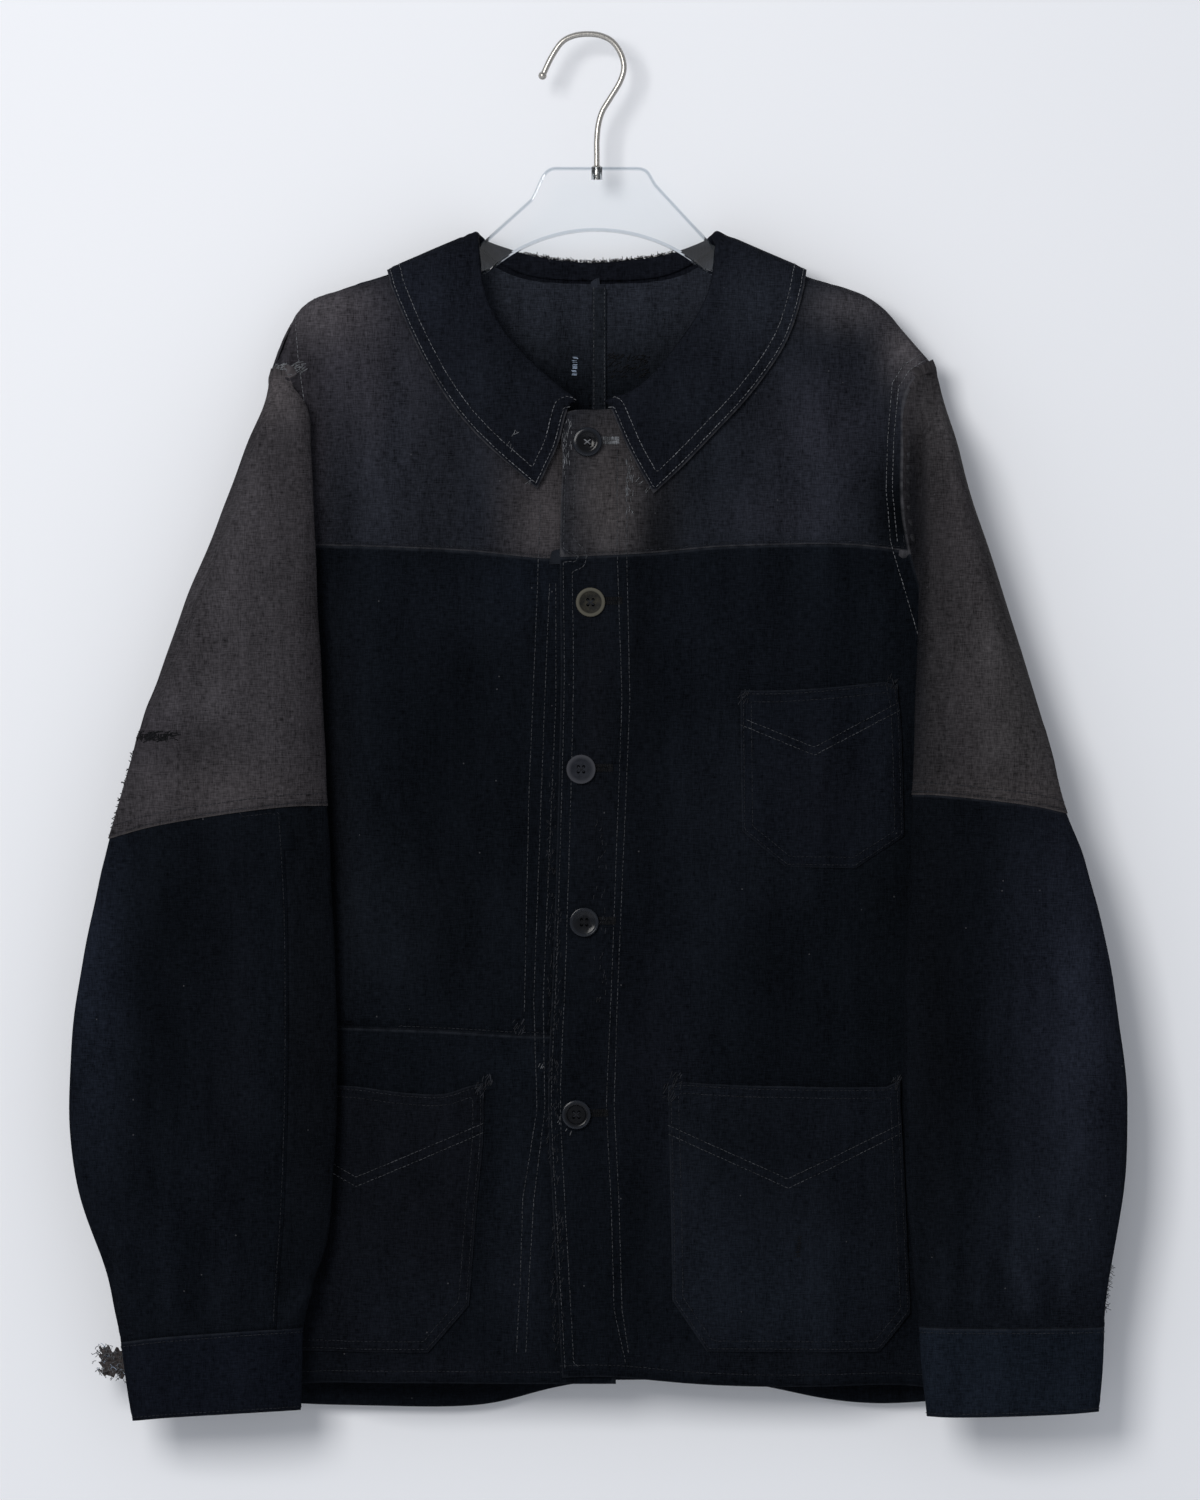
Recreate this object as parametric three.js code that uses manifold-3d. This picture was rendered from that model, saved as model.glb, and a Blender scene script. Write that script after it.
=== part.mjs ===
// A patched work jacket hanging on a clear plate hanger, in millimetres.
// +Z is up, -Y is the front and +X is the wearer's left. The origin is the inside of the hook's crest.
import * as THREE from "three";
import { mergeVertices } from "three/addons/utils/BufferGeometryUtils.js";
import Module from "manifold-3d";

const wasm = await Module();
wasm.setup();

// ---- Driving dimensions -------------------------------------------------------------------------------------------

const CLOTH = 1.6; // wall of one layer
const COLLAR_WALL = 2.6; // two layers and their turnings
const CUFF_WALL = 2.4;
const POCKET_WALL = 1.7;
const SEAM_GAP = 0.3; // between two pieces at a seam
const PIECE_GAP = 1; // between the pieces of a front or a back, whose curved edges are drawn with chords
const LAP_RISE = 2.8; // how far the left front stands on the right front
const CENTRE_X = 8; // middle of the body
const BACK_SEAM_X = 7.5;
const HALF_CHEST = 240; // from the middle to a side fold
const HIP_FLARE = 4; // more than that at the hem
const ARMPIT_Z = -436;
const YOKE_Z = -328; // where the faded upper cloth ends
const FRONT_HEM_Z = -857;
const SIDE_HEM_Z = -868;
const BUTTON_RADIUS = 9.3;
const PLATE_THICKNESS = 10;
const WIRE_RADIUS = 1.9;
const RIDGE_RADIUS = 10; // how the shoulders round over the hanger
const SIDE_RADIUS = 18;

// ---- Small tools --------------------------------------------------------------------------------------------------

const v2 = (x, z) => new THREE.Vector2(x, z);
const v3 = (x, y, z) => new THREE.Vector3(x, y, z);
const clamp01 = (t) => Math.min(1, Math.max(0, t));
const mix = (a, b, t) => a + (b - a) * t;
const smooth = (t) => clamp01(t) ** 2 * (3 - 2 * clamp01(t));

// A smooth line through a few [x, z] points, by length from 0 to 1.
function curve(points) {
  const spline = new THREE.SplineCurve(points.map(([x, z]) => v2(x, z)));
  return (t) => spline.getPointAt(clamp01(t));
}

// Straight lines between [x, z] points, by length from 0 to 1.
function straight(points) {
  const path = new THREE.CurvePath();
  for (let i = 1; i < points.length; i += 1) path.add(new THREE.LineCurve(v2(...points[i - 1]), v2(...points[i])));
  return (t) => path.getPoint(clamp01(t));
}

// The shares of their whole length at which such lines turn.
function turningShares(points) {
  const lengths = points.slice(1).map(([x, z], i) => Math.hypot(x - points[i][0], z - points[i][1]));
  const whole = lengths.reduce((sum, length) => sum + length, 0);
  return lengths.slice(0, -1).map((_, i) => lengths.slice(0, i + 1).reduce((sum, length) => sum + length, 0) / whole);
}

// Two curves end to end, the first taking the share `split` of the whole.
const chain = (first, second, split) => (t) =>
  t < split ? first(t / split) : second((t - split) / (1 - split));

// The stretch of a curve between two shares of its length.
const stretch = (line, from, to) => (t) => line(mix(from, to, t));

// The same curve from its other end.
const flip = (line) => (t) => line(1 - t);

const polyline = (line, steps = 48) => Array.from({ length: steps + 1 }, (_, i) => line(i / steps));

// Shortest distance from [x, z] to a list of points joined by straight lines.
function distanceTo(points, x, z) {
  let best = Infinity;
  for (let i = 1; i < points.length; i += 1) {
    const a = points[i - 1];
    const b = points[i];
    const along = clamp01(((x - a.x) * (b.x - a.x) + (z - a.y) * (b.y - a.y)) / a.distanceToSquared(b));
    best = Math.min(best, Math.hypot(x - mix(a.x, b.x, along), z - mix(a.y, b.y, along)));
  }
  return best;
}

// A quarter round: 0 at a fold, 1 at `radius` and beyond.
const rounding = (distance, radius) => Math.sqrt(1 - (1 - clamp01(distance / radius)) ** 2);

// A flat patch between four curves that meet at their ends: (u, v) to [x, z].
function coons(top, bottom, left, right) {
  return (u, v) => {
    const across = top(u).multiplyScalar(1 - v).add(bottom(u).multiplyScalar(v));
    const down = left(v).multiplyScalar(1 - u).add(right(v).multiplyScalar(u));
    const upper = top(0).lerp(top(1), u);
    const lower = bottom(0).lerp(bottom(1), u);
    return across.add(down).sub(upper.lerp(lower, v));
  };
}

// Parameters from 0 to 1 with extra ones at given distances from either end of a stretch of this length.
function spaced(length, count, nearStart = [], nearEnd = []) {
  const first = (nearStart.at(-1) ?? 0) / length;
  const last = 1 - (nearEnd.at(-1) ?? 0) / length;
  const middle = Array.from({ length: count + 1 }, (_, i) => mix(first, last, i / count));
  const before = nearStart.slice(0, -1).map((d) => d / length);
  const after = nearEnd.slice(0, -1).map((d) => 1 - d / length).reverse();
  return [...before, ...middle, ...after];
}

// Parameters from 0 to 1 that include these shares, about `perUnit` of them in all.
function through(shares, perUnit) {
  const stops = [0, ...shares, 1];
  const between = stops.slice(1).flatMap((stop, i) => {
    const count = Math.max(1, Math.round((stop - stops[i]) * perUnit));
    return Array.from({ length: count }, (_, k) => mix(stops[i], stop, k / count));
  });
  return [...between, 1];
}

const FOLD_STEPS = [0, 1.4, 5, 11]; // distances from a fold that draw its round

const centroid = (points) => points.reduce((sum, p) => sum.add(p), v3(0, 0, 0)).divideScalar(points.length);
const fromPlane = (p) => v3(0, p.y, 0);
const fromAxis = (p, row) => p.clone().sub(centroid(row));

// A closed wall on a grid of points. Points that coincide are joined, so a row may close on itself. The points are
// its outer face, on the side that `away` points to, and the inner face lies `thickness` behind them. On a fold in
// the plane Y = 0 the wall is cut square to that plane.
function wall(rows, { thickness = CLOTH, folded = false, away = fromPlane, probe = () => true } = {}) {
  const points = [];
  const index = new Map();
  const ids = rows.map((row) =>
    row.map((p) => {
      const key = [p.x, p.y, p.z].map((c) => Math.round(c * 500)).join();
      if (!index.has(key)) index.set(key, points.push(p) - 1);
      return index.get(key);
    }),
  );
  const faces = [];
  for (let i = 1; i < ids.length; i += 1)
    for (let j = 1; j < ids[i].length; j += 1) {
      const [a, b, c, d] = [ids[i - 1][j - 1], ids[i - 1][j], ids[i][j], ids[i][j - 1]];
      for (const face of [[a, b, c], [a, c, d]]) if (new Set(face).size === 3) faces.push(face);
    }
  const normals = points.map(() => v3(0, 0, 0));
  const edges = new Map();
  for (const [a, b, c] of faces) {
    const n = points[b].clone().sub(points[a]).cross(points[c].clone().sub(points[a]));
    for (const i of [a, b, c]) normals[i].add(n);
    for (const [p, q] of [[a, b], [b, c], [c, a]]) edges.set(p + "," + q, [p, q]);
  }
  const rim = [...edges.values()].filter(([p, q]) => !edges.has(q + "," + p));
  if (folded) for (const i of rim.flat()) if (Math.abs(points[i].y) < 1) normals[i].y = 0;
  for (const n of normals) n.normalize();
  let facing = 0;
  rows.forEach((row, i) =>
    row.forEach((p, j) => {
      if (probe(i, j, row)) facing += normals[ids[i][j]].dot(away(p, row));
    }),
  );
  const sign = Math.sign(facing);
  const verts = [...points, ...points.map((p, i) => p.clone().addScaledVector(normals[i], -sign * thickness))];
  const n = points.length;
  let tris = [];
  for (const [a, b, c] of faces) tris.push([a, b, c], [a + n, c + n, b + n]);
  for (const [p, q] of rim) tris.push([q, p, p + n], [q, p + n, q + n]);
  if (sign < 0) tris = tris.map(([a, b, c]) => [a, c, b]);
  return meshGeometry(verts, tris);
}

function meshGeometry(verts, tris) {
  const geometry = new THREE.BufferGeometry();
  geometry.setAttribute("position", new THREE.Float32BufferAttribute(verts.flatMap((p) => p.toArray()), 3));
  geometry.setIndex(tris.flat());
  return geometry;
}

// A three.js geometry as a solid for a boolean, and back.
function solid(geometry) {
  const bare = geometry.clone();
  bare.deleteAttribute("normal");
  bare.deleteAttribute("uv");
  const merged = mergeVertices(bare, 1e-4);
  const vertProperties = new Float32Array(merged.attributes.position.array);
  const triVerts = new Uint32Array(merged.index.array);
  return new wasm.Manifold(new wasm.Mesh({ numProp: 3, vertProperties, triVerts }));
}

function fromSolid(made) {
  const mesh = made.getMesh();
  const geometry = new THREE.BufferGeometry();
  geometry.setAttribute("position", new THREE.BufferAttribute(mesh.vertProperties, 3));
  geometry.setIndex(new THREE.BufferAttribute(mesh.triVerts, 1));
  return geometry;
}

const jacket = new THREE.Group();

function add(name, geometry, [color, roughness, metalness = 0]) {
  const mesh = new THREE.Mesh(geometry, new THREE.MeshStandardMaterial({ color, roughness, metalness }));
  mesh.name = name;
  jacket.add(mesh);
  return mesh;
}

const FADED = [0x4a4c52, 0.95];
const DARK = [0x24262c, 0.95];
const BROWN = [0x4b443e, 0.95];

// ---- The body's form ----------------------------------------------------------------------------------------------
// Front and back are two shallow skins that meet at the shoulder ridge and at the side folds. Each side of the table
// below is one side of the jacket: s is -1 on the wearer's right and +1 on the left.

const SIDES = {
  right: {
    s: -1,
    ridge: curve([[-80, -132], [-128, -153], [-164, -164], [-181, -171.5], [-189, -184], [-194, -200], [-201, -212]]),
    collarSeam: curve([[-9, -237], [-30, -224.5], [-50, -205], [-65, -183], [-73, -157], [-77, -129.5]]),
    frontArmhole: curve([
      [-201, -212], [-190, -215.5], [-184, -226], [-185, -262], [-188, -300], [-200, -362], [-232, ARMPIT_Z],
    ]),
    backArmhole: curve([[-201, -212], [-191, -217], [-187, -232], [-186, -270], [-196, -345], [-232, ARMPIT_Z]]),
  },
  left: {
    s: 1,
    ridge: curve([[91, -132], [140, -153.5], [166, -161], [185, -170.5], [201, -188], [213, -202], [221, -211]]),
    collarSeam: curve([[12, -236], [31, -229], [54, -212], [76, -182], [86, -155], [88, -129.5]]),
    frontArmhole: curve([
      [221, -211], [208, -218], [201, -233], [200, -262], [200, -296], [205, -330], [222, -383], [248, ARMPIT_Z],
    ]),
    backArmhole: curve([[221, -211], [209, -218], [203, -236], [202, -272], [210, -345], [248, ARMPIT_Z]]),
  },
};
for (const side of Object.values(SIDES)) {
  side.foldX = CENTRE_X + side.s * HALF_CHEST;
  side.fold = curve([[side.foldX, ARMPIT_Z], [side.foldX + side.s * HIP_FLARE, SIDE_HEM_Z]]);
  side.ridgePoints = polyline(side.ridge);
  side.foldPoints = polyline(side.fold, 4);
}

const sideOf = (x) => (x < CENTRE_X ? SIDES.right : SIDES.left);

// How far the front or the back stands from the plane of the hanger, before its edges round off: least along the
// shoulders and more further down, with shallow folds. `reached` is 0 above a height and 1 from so far below it.
const SHOULDER_FULLNESS = 11.5;
const FRONT_FULLNESS = 22;
const BACK_FULLNESS = 15;
const reached = (z, height, below) => smooth((height - z) / below);

function frontFullness(x, z) {
  const across = Math.abs(x - CENTRE_X) / HALF_CHEST;
  const tucked = reached(z, -250, 190) * smooth((across - 0.55) / 0.25); // behind the hanging sleeve
  const flatter = (1 - 0.66 * tucked) * (1 - 0.12 * smooth((across - 0.6) / 0.2));
  const folds = 1.3 * Math.sin(x / 26) * reached(z, -380, 300);
  return mix(SHOULDER_FULLNESS, FRONT_FULLNESS, reached(z, -150, 330)) * flatter + folds * (1 - tucked);
}

function backFullness(x, z) {
  const folds = 1.2 * Math.sin(x / 34 + 1) * reached(z, -420, 300);
  return mix(SHOULDER_FULLNESS, BACK_FULLNESS, reached(z, -150, 400)) + folds;
}

function edgeRounding(x, z) {
  const side = sideOf(x);
  const ridge = rounding(distanceTo(side.ridgePoints, x, z), RIDGE_RADIUS);
  const fold = z < ARMPIT_Z + 60 ? rounding(distanceTo(side.foldPoints, x, z), SIDE_RADIUS) : 1;
  return ridge * fold;
}

const frontY = (x, z, rise = 0) => -(frontFullness(x, z) + rise) * edgeRounding(x, z) - SEAM_GAP / 2;
const backY = (x, z) => backFullness(x, z) * edgeRounding(x, z) + SEAM_GAP / 2;

// The left front's rise where it lies on the right front.
const lapRise = (x) => LAP_RISE * (1 - smooth((x - 30) / 24));

const onFront = ({ x, y }, rise = 0) => v3(x, frontY(x, y, rise), y);
const onBack = ({ x, y }) => v3(x, backY(x, y), y);

// A wall of cloth between four [x, z] curves.
function panel(patch, columns, rows, place) {
  const grid = rows.map((v) => columns.map((u) => place(patch(u, v))));
  return wall(grid, { folded: true });
}

// The front face of a panel's facets at [x, z], for what is sewn on it.
function facetY(geometry, x, z) {
  const { position } = geometry.attributes;
  const corners = geometry.index.array;
  const triangle = new THREE.Triangle();
  const weights = v3();
  let nearest = Infinity;
  for (let i = 0; i < corners.length; i += 3) {
    triangle.setFromAttributeAndIndices(position, corners[i], corners[i + 1], corners[i + 2]);
    const { a, b, c } = triangle;
    const flat = [a, b, c].map((p) => v3(p.x, 0, p.z));
    if (!THREE.Triangle.getBarycoord(v3(x, 0, z), ...flat, weights)) continue;
    if (Math.min(...weights.toArray()) < -1e-6) continue;
    nearest = Math.min(nearest, a.y * weights.x + b.y * weights.y + c.y * weights.z);
  }
  return nearest;
}

// Rows at shares of a patch's height. The upper pieces have extra ones that draw the round of the shoulder, and the
// lower ones have one at the armpit.
const UPPER_ROWS = [0, 0.01, 0.04, 0.1, 0.28, 0.46, 0.64, 0.82, 1];
const NECK_ROWS = [0, 0.01, 0.04, 0.1, 0.19, 0.28, 0.37, 0.46, 0.55, 0.64, 0.73, 0.82, 1];
const ARMPIT_ROW = 0.22;
const GAP_ROW = PIECE_GAP / (YOKE_Z - FRONT_HEM_Z);
const ARMPIT_ROWS = [GAP_ROW, 0.055, 0.11, 0.165, ARMPIT_ROW];
const LOWER_ROWS = [...ARMPIT_ROWS, 0.32, 0.43, 0.545, 0.66, 0.77, 0.885, 1];

// ---- Fronts -------------------------------------------------------------------------------------------------------

const NECK_SHARE = 0.64; // share of an upper front's inner edge that is neck; the rest is the centre edge
const upperColumns = spaced(1, 9);
const bodyColumns = spaced(HALF_CHEST, 9, [], FOLD_STEPS);

const YOKE = {
  right: curve([[19, -330], [-23, -333], [-70, -328.5], [-120, -326], [-186, -324]]),
  left: curve([[-17, -332], [40, -329.5], [84, -325.5], [160, -324], [204.5, -328.5]]),
};

function closestShare(line, z) {
  let best = 0;
  for (let t = 0; t <= 1; t += 0.001) if (Math.abs(line(t).y - z) < Math.abs(line(best).y - z)) best = t;
  return best;
}

const HEM_ENDS = {
  right: [CENTRE_X - HALF_CHEST - HIP_FLARE, SIDE_HEM_Z],
  left: [CENTRE_X + HALF_CHEST + HIP_FLARE, SIDE_HEM_Z],
};
const CENTRE_EDGE = {
  right: curve([[20, -243], [20, -330], [19, -600], [18, FRONT_HEM_Z]]),
  left: curve([[-15, -241], [-17.5, -332], [-17, -423], [-22, -600], [-25, -677], [-16, -853]]),
};
const NECK_TOP = {
  right: curve([
    [20, -243], [2, -242], [-10, -239.5], [-32, -228], [-53, -208], [-69, -185.5], [-77, -159], [-80, -132],
  ]),
  left: curve([
    [-15, -241], [-3, -238], [12, -238.5], [32, -232.5], [57, -215.5], [80, -184.5], [90, -157], [91, -132],
  ]),
};
const HEM = {
  right: curve([[18, -858], [-48, -858], [-119, -857], [-182, -858.5], HEM_ENDS.right]),
  left: curve([[-16, -853], [20, -852.5], [60, -856.5], [112, -859], [205, -859.5], HEM_ENDS.left]),
};

function frontPieces(key) {
  const side = SIDES[key];
  const rise = key === "left" ? ({ x }) => lapRise(x) : () => 0;
  const place = (p) => onFront(p, rise(p));
  const centre = CENTRE_EDGE[key];
  const centreAtYoke = closestShare(centre, YOKE[key](0).y);
  const armholeShare = closestShare(side.frontArmhole, YOKE[key](1).y);
  const inner = chain(flip(NECK_TOP[key]), stretch(centre, 0, centreAtYoke), NECK_SHARE);
  const upper = coons(side.ridge, YOKE[key], inner, stretch(side.frontArmhole, 0, armholeShare));
  const upperGeometry = panel(upper, upperColumns, NECK_ROWS, place);

  // Shares of the armhole where the rows of both pieces meet it: the sleeve's rings start there.
  side.armholeShares = [
    ...UPPER_ROWS.filter((v) => v >= 0.1).map((v) => v * armholeShare),
    ...ARMPIT_ROWS.slice(1).map((v) => mix(armholeShare, 1, v / ARMPIT_ROW)),
  ];
  side.armholeShare = armholeShare;
  const outer = chain(stretch(side.frontArmhole, armholeShare, 1), side.fold, ARMPIT_ROW);
  const lower = coons(YOKE[key], HEM[key], stretch(centre, centreAtYoke, 1), outer);
  return { upperGeometry, lower, place };
}

const left = frontPieces("left");
add("front_left_upper", left.upperGeometry, FADED);
const frontLeftLower = panel(left.lower, bodyColumns, LOWER_ROWS, left.place);
add("front_left_lower", frontLeftLower, DARK);

const PIECED_AT = 0.58; // share of the right front's lower length where it is pieced again
const right = frontPieces("right");
add("front_right_upper", right.upperGeometry, FADED);
const middleRows = [...ARMPIT_ROWS, 0.34, 0.46, PIECED_AT];
const bottomRows = [PIECED_AT + GAP_ROW, 0.68, 0.79, 0.9, 1];
add("front_right_middle", panel(right.lower, bodyColumns, middleRows, right.place), DARK);
const frontRightBottom = panel(right.lower, bodyColumns, bottomRows, right.place);
add("front_right_bottom", frontRightBottom, DARK);

// ---- Back ---------------------------------------------------------------------------------------------------------

const BACK_YOKE_Z = -330;
const BACK_HEM_Z = -858; // at the centre-back seam
const BACK_HEM = {
  right: [[BACK_SEAM_X, BACK_HEM_Z], [-40, -866], [-75, -874], [-182, -873], HEM_ENDS.right],
  left: [[BACK_SEAM_X, BACK_HEM_Z], [60, -858], [110, -861], [160, -871], [212, -872], HEM_ENDS.left],
};
const BACK_NECK_SHARE = 0.4; // share of an upper back's top edge that is neck
const BACK_NECK = {
  right: curve([[BACK_SEAM_X, -158.5], [-30, -156.5], [-59, -148.5], [-80, -132]]),
  left: curve([[BACK_SEAM_X, -158.5], [42, -156.5], [71, -148.5], [91, -132]]),
};

function backPieces(key) {
  const side = SIDES[key];
  const edge = BACK_SEAM_X + (side.s * SEAM_GAP) / 2;
  const fromCentre = (line) => (t) => {
    const p = line(t);
    return v2(side.s * Math.max(side.s * p.x, side.s * edge), p.y);
  };
  const top = fromCentre(chain(BACK_NECK[key], side.ridge, BACK_NECK_SHARE));
  const armhole = (t) => side.backArmhole(closestShare(side.backArmhole, side.frontArmhole(t).y));
  const atYoke = armhole(side.armholeShare);
  const halfway = [mix(edge, atYoke.x, 0.5), mix(BACK_YOKE_Z, atYoke.y, 0.5)];
  const yoke = curve([[edge, BACK_YOKE_Z], halfway, atYoke.toArray()]);
  const centreUpper = curve([[edge, -157], [edge, BACK_YOKE_Z]]);
  const upper = coons(top, yoke, centreUpper, stretch(armhole, 0, side.armholeShare));
  const neckPart = spaced(90, 3, [], FOLD_STEPS).map((t) => t * BACK_NECK_SHARE);
  const columns = [...neckPart, ...spaced(1, 5).slice(1).map((t) => mix(BACK_NECK_SHARE, 1, t))];
  add(`back_${key}_upper`, panel(upper, columns, UPPER_ROWS, onBack), FADED);

  const hem = fromCentre(curve(BACK_HEM[key]));
  const outer = chain(stretch(armhole, side.armholeShare, 1), side.fold, ARMPIT_ROW);
  const centreLower = curve([[edge, BACK_YOKE_Z], [edge, BACK_HEM_Z]]);
  const lower = coons(yoke, hem, centreLower, outer);
  add(`back_${key}_lower`, panel(lower, spaced(HALF_CHEST, 7, [], FOLD_STEPS), LOWER_ROWS, onBack), DARK);
}
backPieces("right");
backPieces("left");

// The fell of the centre-back seam: a narrow strip on the inside.
const FELL_WIDTH = 9;
const FELL_WALL = 0.9;
const FELL_GAP = 0.4;
const fellRows = spaced(1, 12).map((t) => mix(-160, -852, t));
const fellPoint = (u, z) => v3(BACK_SEAM_X + u * FELL_WIDTH, backY(BACK_SEAM_X, z) - CLOTH - FELL_GAP, z);
const fellGrid = fellRows.map((z) => [-0.5, 0, 0.5].map((u) => fellPoint(u, z)));
add("back_fell", wall(fellGrid, { thickness: FELL_WALL }), FADED);

// ---- Sleeves ------------------------------------------------------------------------------------------------------
// Each sleeve is a stack of rings. Above the armpit a ring is open: it starts on the front armhole seam, turns at the
// inner fold, runs out along the front to the outer fold and returns along the back to the back armhole seam. Below,
// both ends are the underarm seam, on the side of the tube that faces the body.

const SEAM_CLEAR = 1; // between a sleeve and the body at the armhole

// A station: where the ring meets the seam, its inner fold, its outer fold and how far it reaches to front and back.
function ringPoints(side, st) {
  const { s } = side;
  const width = Math.abs(st.outX - st.inX);
  const seamFront = v3(st.seamX, st.seamY, st.seamZ);
  const seamBack = st.open ? v3(st.backX, st.backY, st.seamZ) : seamFront;
  const middle = (st.front + st.back) / 2;
  const fromSeam = (x) => clamp01((s * (x - st.seamX)) / Math.max(1, s * (st.outX - st.seamX))) ** 1.5;
  const fromFold = (x) => clamp01(Math.abs(x - st.inX) / width) ** 2;
  const zAt = (x) => (st.open ? mix(st.seamZ, st.outZ, fromSeam(x)) : mix(st.inZ, st.outZ, fromFold(x)));
  const at = (x, y) => v3(x, y, zAt(x));
  if (st.cap) {
    // A quarter round from the front seam to the outer fold, and another to the back seam.
    const front = [0, 1, 2, 3, 4].map((k) => {
      const angle = (k / 5) * (Math.PI / 2);
      return at(mix(st.seamX, st.outX, Math.sin(angle)), st.seamY * Math.cos(angle));
    });
    const back = [0, 1, 2].map((k) => {
      const angle = (k / 3) * (Math.PI / 2);
      return at(mix(st.outX, st.backX, 1 - Math.cos(angle)), st.backY * Math.sin(angle));
    });
    return [...front, ...back, seamBack];
  }
  let valley = at(mix(st.seamX, st.inX, st.valleyShare), st.valleyY);
  if (st.open) {
    const overlap = s * (st.seamX - st.inX); // how far the inner fold lies over the body
    const over = v3(st.seamX - s * Math.min(5, 0.45 * overlap), st.seamY - 5.4, st.seamZ);
    valley = overlap > 0 ? over : v3(st.inX + s * 1.5, st.seamY + 0.5, st.seamZ);
  }
  const points = [
    st.open ? seamFront : at(st.seamX, st.seamY),
    valley,
    at(st.inX, mix(valley.y, st.front, 0.45)),
    at(st.frontSeamX ?? st.inX + s * width * 0.17, st.front),
    at(st.outX - s * width * 0.24, st.front + 1.5),
    at(st.outX, middle),
    at(st.outX - s * width * 0.2, mix(middle, st.back, 0.92)),
    at(mix(st.outX, st.backX ?? st.seamX, 0.6), mix(st.back, seamBack.y, 0.4)),
  ];
  return [...points, st.open ? seamBack : points[0]];
}

// A ring as a curve whose parameter k runs from 0 to 8 through its nine points.
function ring(side, st) {
  const points = ringPoints(side, st);
  const closed = !st.open;
  const spline = new THREE.CatmullRomCurve3(closed ? points.slice(0, -1) : points, closed, "centripetal");
  return (k) => spline.getPoint((closed ? k % 8 : k) / 8);
}

const ringSamples = (from, to, perStep = 2) => {
  const count = Math.round((to - from) * perStep);
  return Array.from({ length: count + 1 }, (_, i) => mix(from, to, i / count));
};

const sleeveGrid = (side, stations, samples) =>
  stations.map((st) => {
    const loop = ring(side, st);
    return samples.map((k) => loop(k));
  });

// The [x, z] outlines of a sleeve with its cuff, from the shoulder down.
const SLEEVE = {
  left: {
    capRings: 2, // rings that are a plain round over the shoulder
    capSlant: [5, 6, 3], // how much higher the outer fold of the first rings is than their seam
    outer: [
      [221.8, -212.5], [224.5, -224], [232, -248], [241, -283], [264, -355], [287, -430], [304, -495],
      [317, -533], [328, -573], [336, -618], [342, -661], [343, -690], [341, -730], [337, -760], [331, -786],
      [328, -821], [327, -847], [324.5, -874],
    ],
    inner: [
      [216, -232], [214, -253], [212, -309], [210, -361], [208, -433], [206, -484], [202, -580], [199.5, -661],
      [203, -741], [208.5, -794], [210, -821], [212, -848], [215, -877],
    ],
    front: [
      [-232, -27], [-262, -33], [-330, -39], [-400, -43], [-480, -44], [-780, -44], [-821, -41], [-877, -39.5],
    ],
  },
  right: {
    capRings: 1,
    capSlant: [-1.5],
    outer: [
      [-202.3, -214.5], [-204, -230], [-217, -262], [-229, -295], [-241, -328], [-257, -363], [-271, -403], [-285, -443],
      [-303, -511], [-315, -562], [-324, -613], [-328, -655], [-327, -706], [-320, -743], [-309, -776], [-301, -804],
      [-296, -830], [-292.5, -857], [-288.5, -880],
    ],
    inner: [
      [-178, -232], [-175, -264], [-173, -312], [-171, -361], [-169, -420], [-165, -490], [-161, -554], [-158, -634],
      [-159, -714], [-164, -768], [-175, -794], [-180, -821], [-181.5, -873],
    ],
    front: [
      [-216, -24], [-262, -31], [-330, -37], [-400, -42], [-480, -43.5], [-780, -44], [-821, -41], [-873, -39.5],
    ],
  },
};
// How far the back of either sleeve reaches; below the armpit it hangs in front of the body's side.
const SLEEVE_BACK = [
  [-232, 9], [-300, 11], [-385, 11], [-420, 7], [-436, 0], [-449, -11], [-490, -12.5], [-580, -14], [-780, -14.5],
  [-880, -16],
];
const VALLEY_AT_ARMPIT = -11.5;

// The value at height z of a list whose entries hold a height and a value.
function atHeight(list, z, height = 0, value = 1) {
  const found = list.findIndex((entry) => entry[height] <= z);
  const i = found < 0 ? list.length - 1 : Math.max(1, found);
  const share = clamp01((list[i - 1][height] - z) / (list[i - 1][height] - list[i][height]));
  return mix(list[i - 1][value], list[i][value], share);
}
const outlineX = (list, z) => atHeight(list, z, 1, 0);

// Open stations, one for each row of the front that meets the armhole above the armpit.
function armholeStations(key) {
  const side = SIDES[key];
  const shape = SLEEVE[key];
  const clear = side.s * SEAM_CLEAR;
  return side.armholeShares.slice(0, -1).map((share, i) => {
    const seam = side.frontArmhole(share);
    const behind = side.backArmhole(closestShare(side.backArmhole, seam.y));
    const outZ = seam.y + (shape.capSlant[i] ?? 0);
    return {
      open: true,
      cap: i < shape.capRings,
      seamX: seam.x + clear,
      seamZ: seam.y,
      seamY: frontY(seam.x, seam.y),
      backX: behind.x + clear,
      backY: backY(behind.x, seam.y),
      outX: outlineX(shape.outer, outZ),
      outZ,
      inX: outlineX(shape.inner, seam.y),
      front: atHeight(shape.front, seam.y),
      back: atHeight(SLEEVE_BACK, seam.y),
    };
  });
}

// A closed station at inZ on the inner fold and outZ on the outer one.
function closedStation(key, seamX, inZ, outZ = inZ, more = {}) {
  const shape = SLEEVE[key];
  const back = atHeight(SLEEVE_BACK, inZ);
  return {
    open: false,
    seamX,
    seamY: back,
    seamZ: inZ,
    inX: outlineX(shape.inner, inZ),
    inZ,
    outX: outlineX(shape.outer, outZ),
    outZ,
    front: atHeight(shape.front, inZ),
    back,
    valleyY: back,
    valleyShare: 0.55,
    ...more,
  };
}

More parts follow.
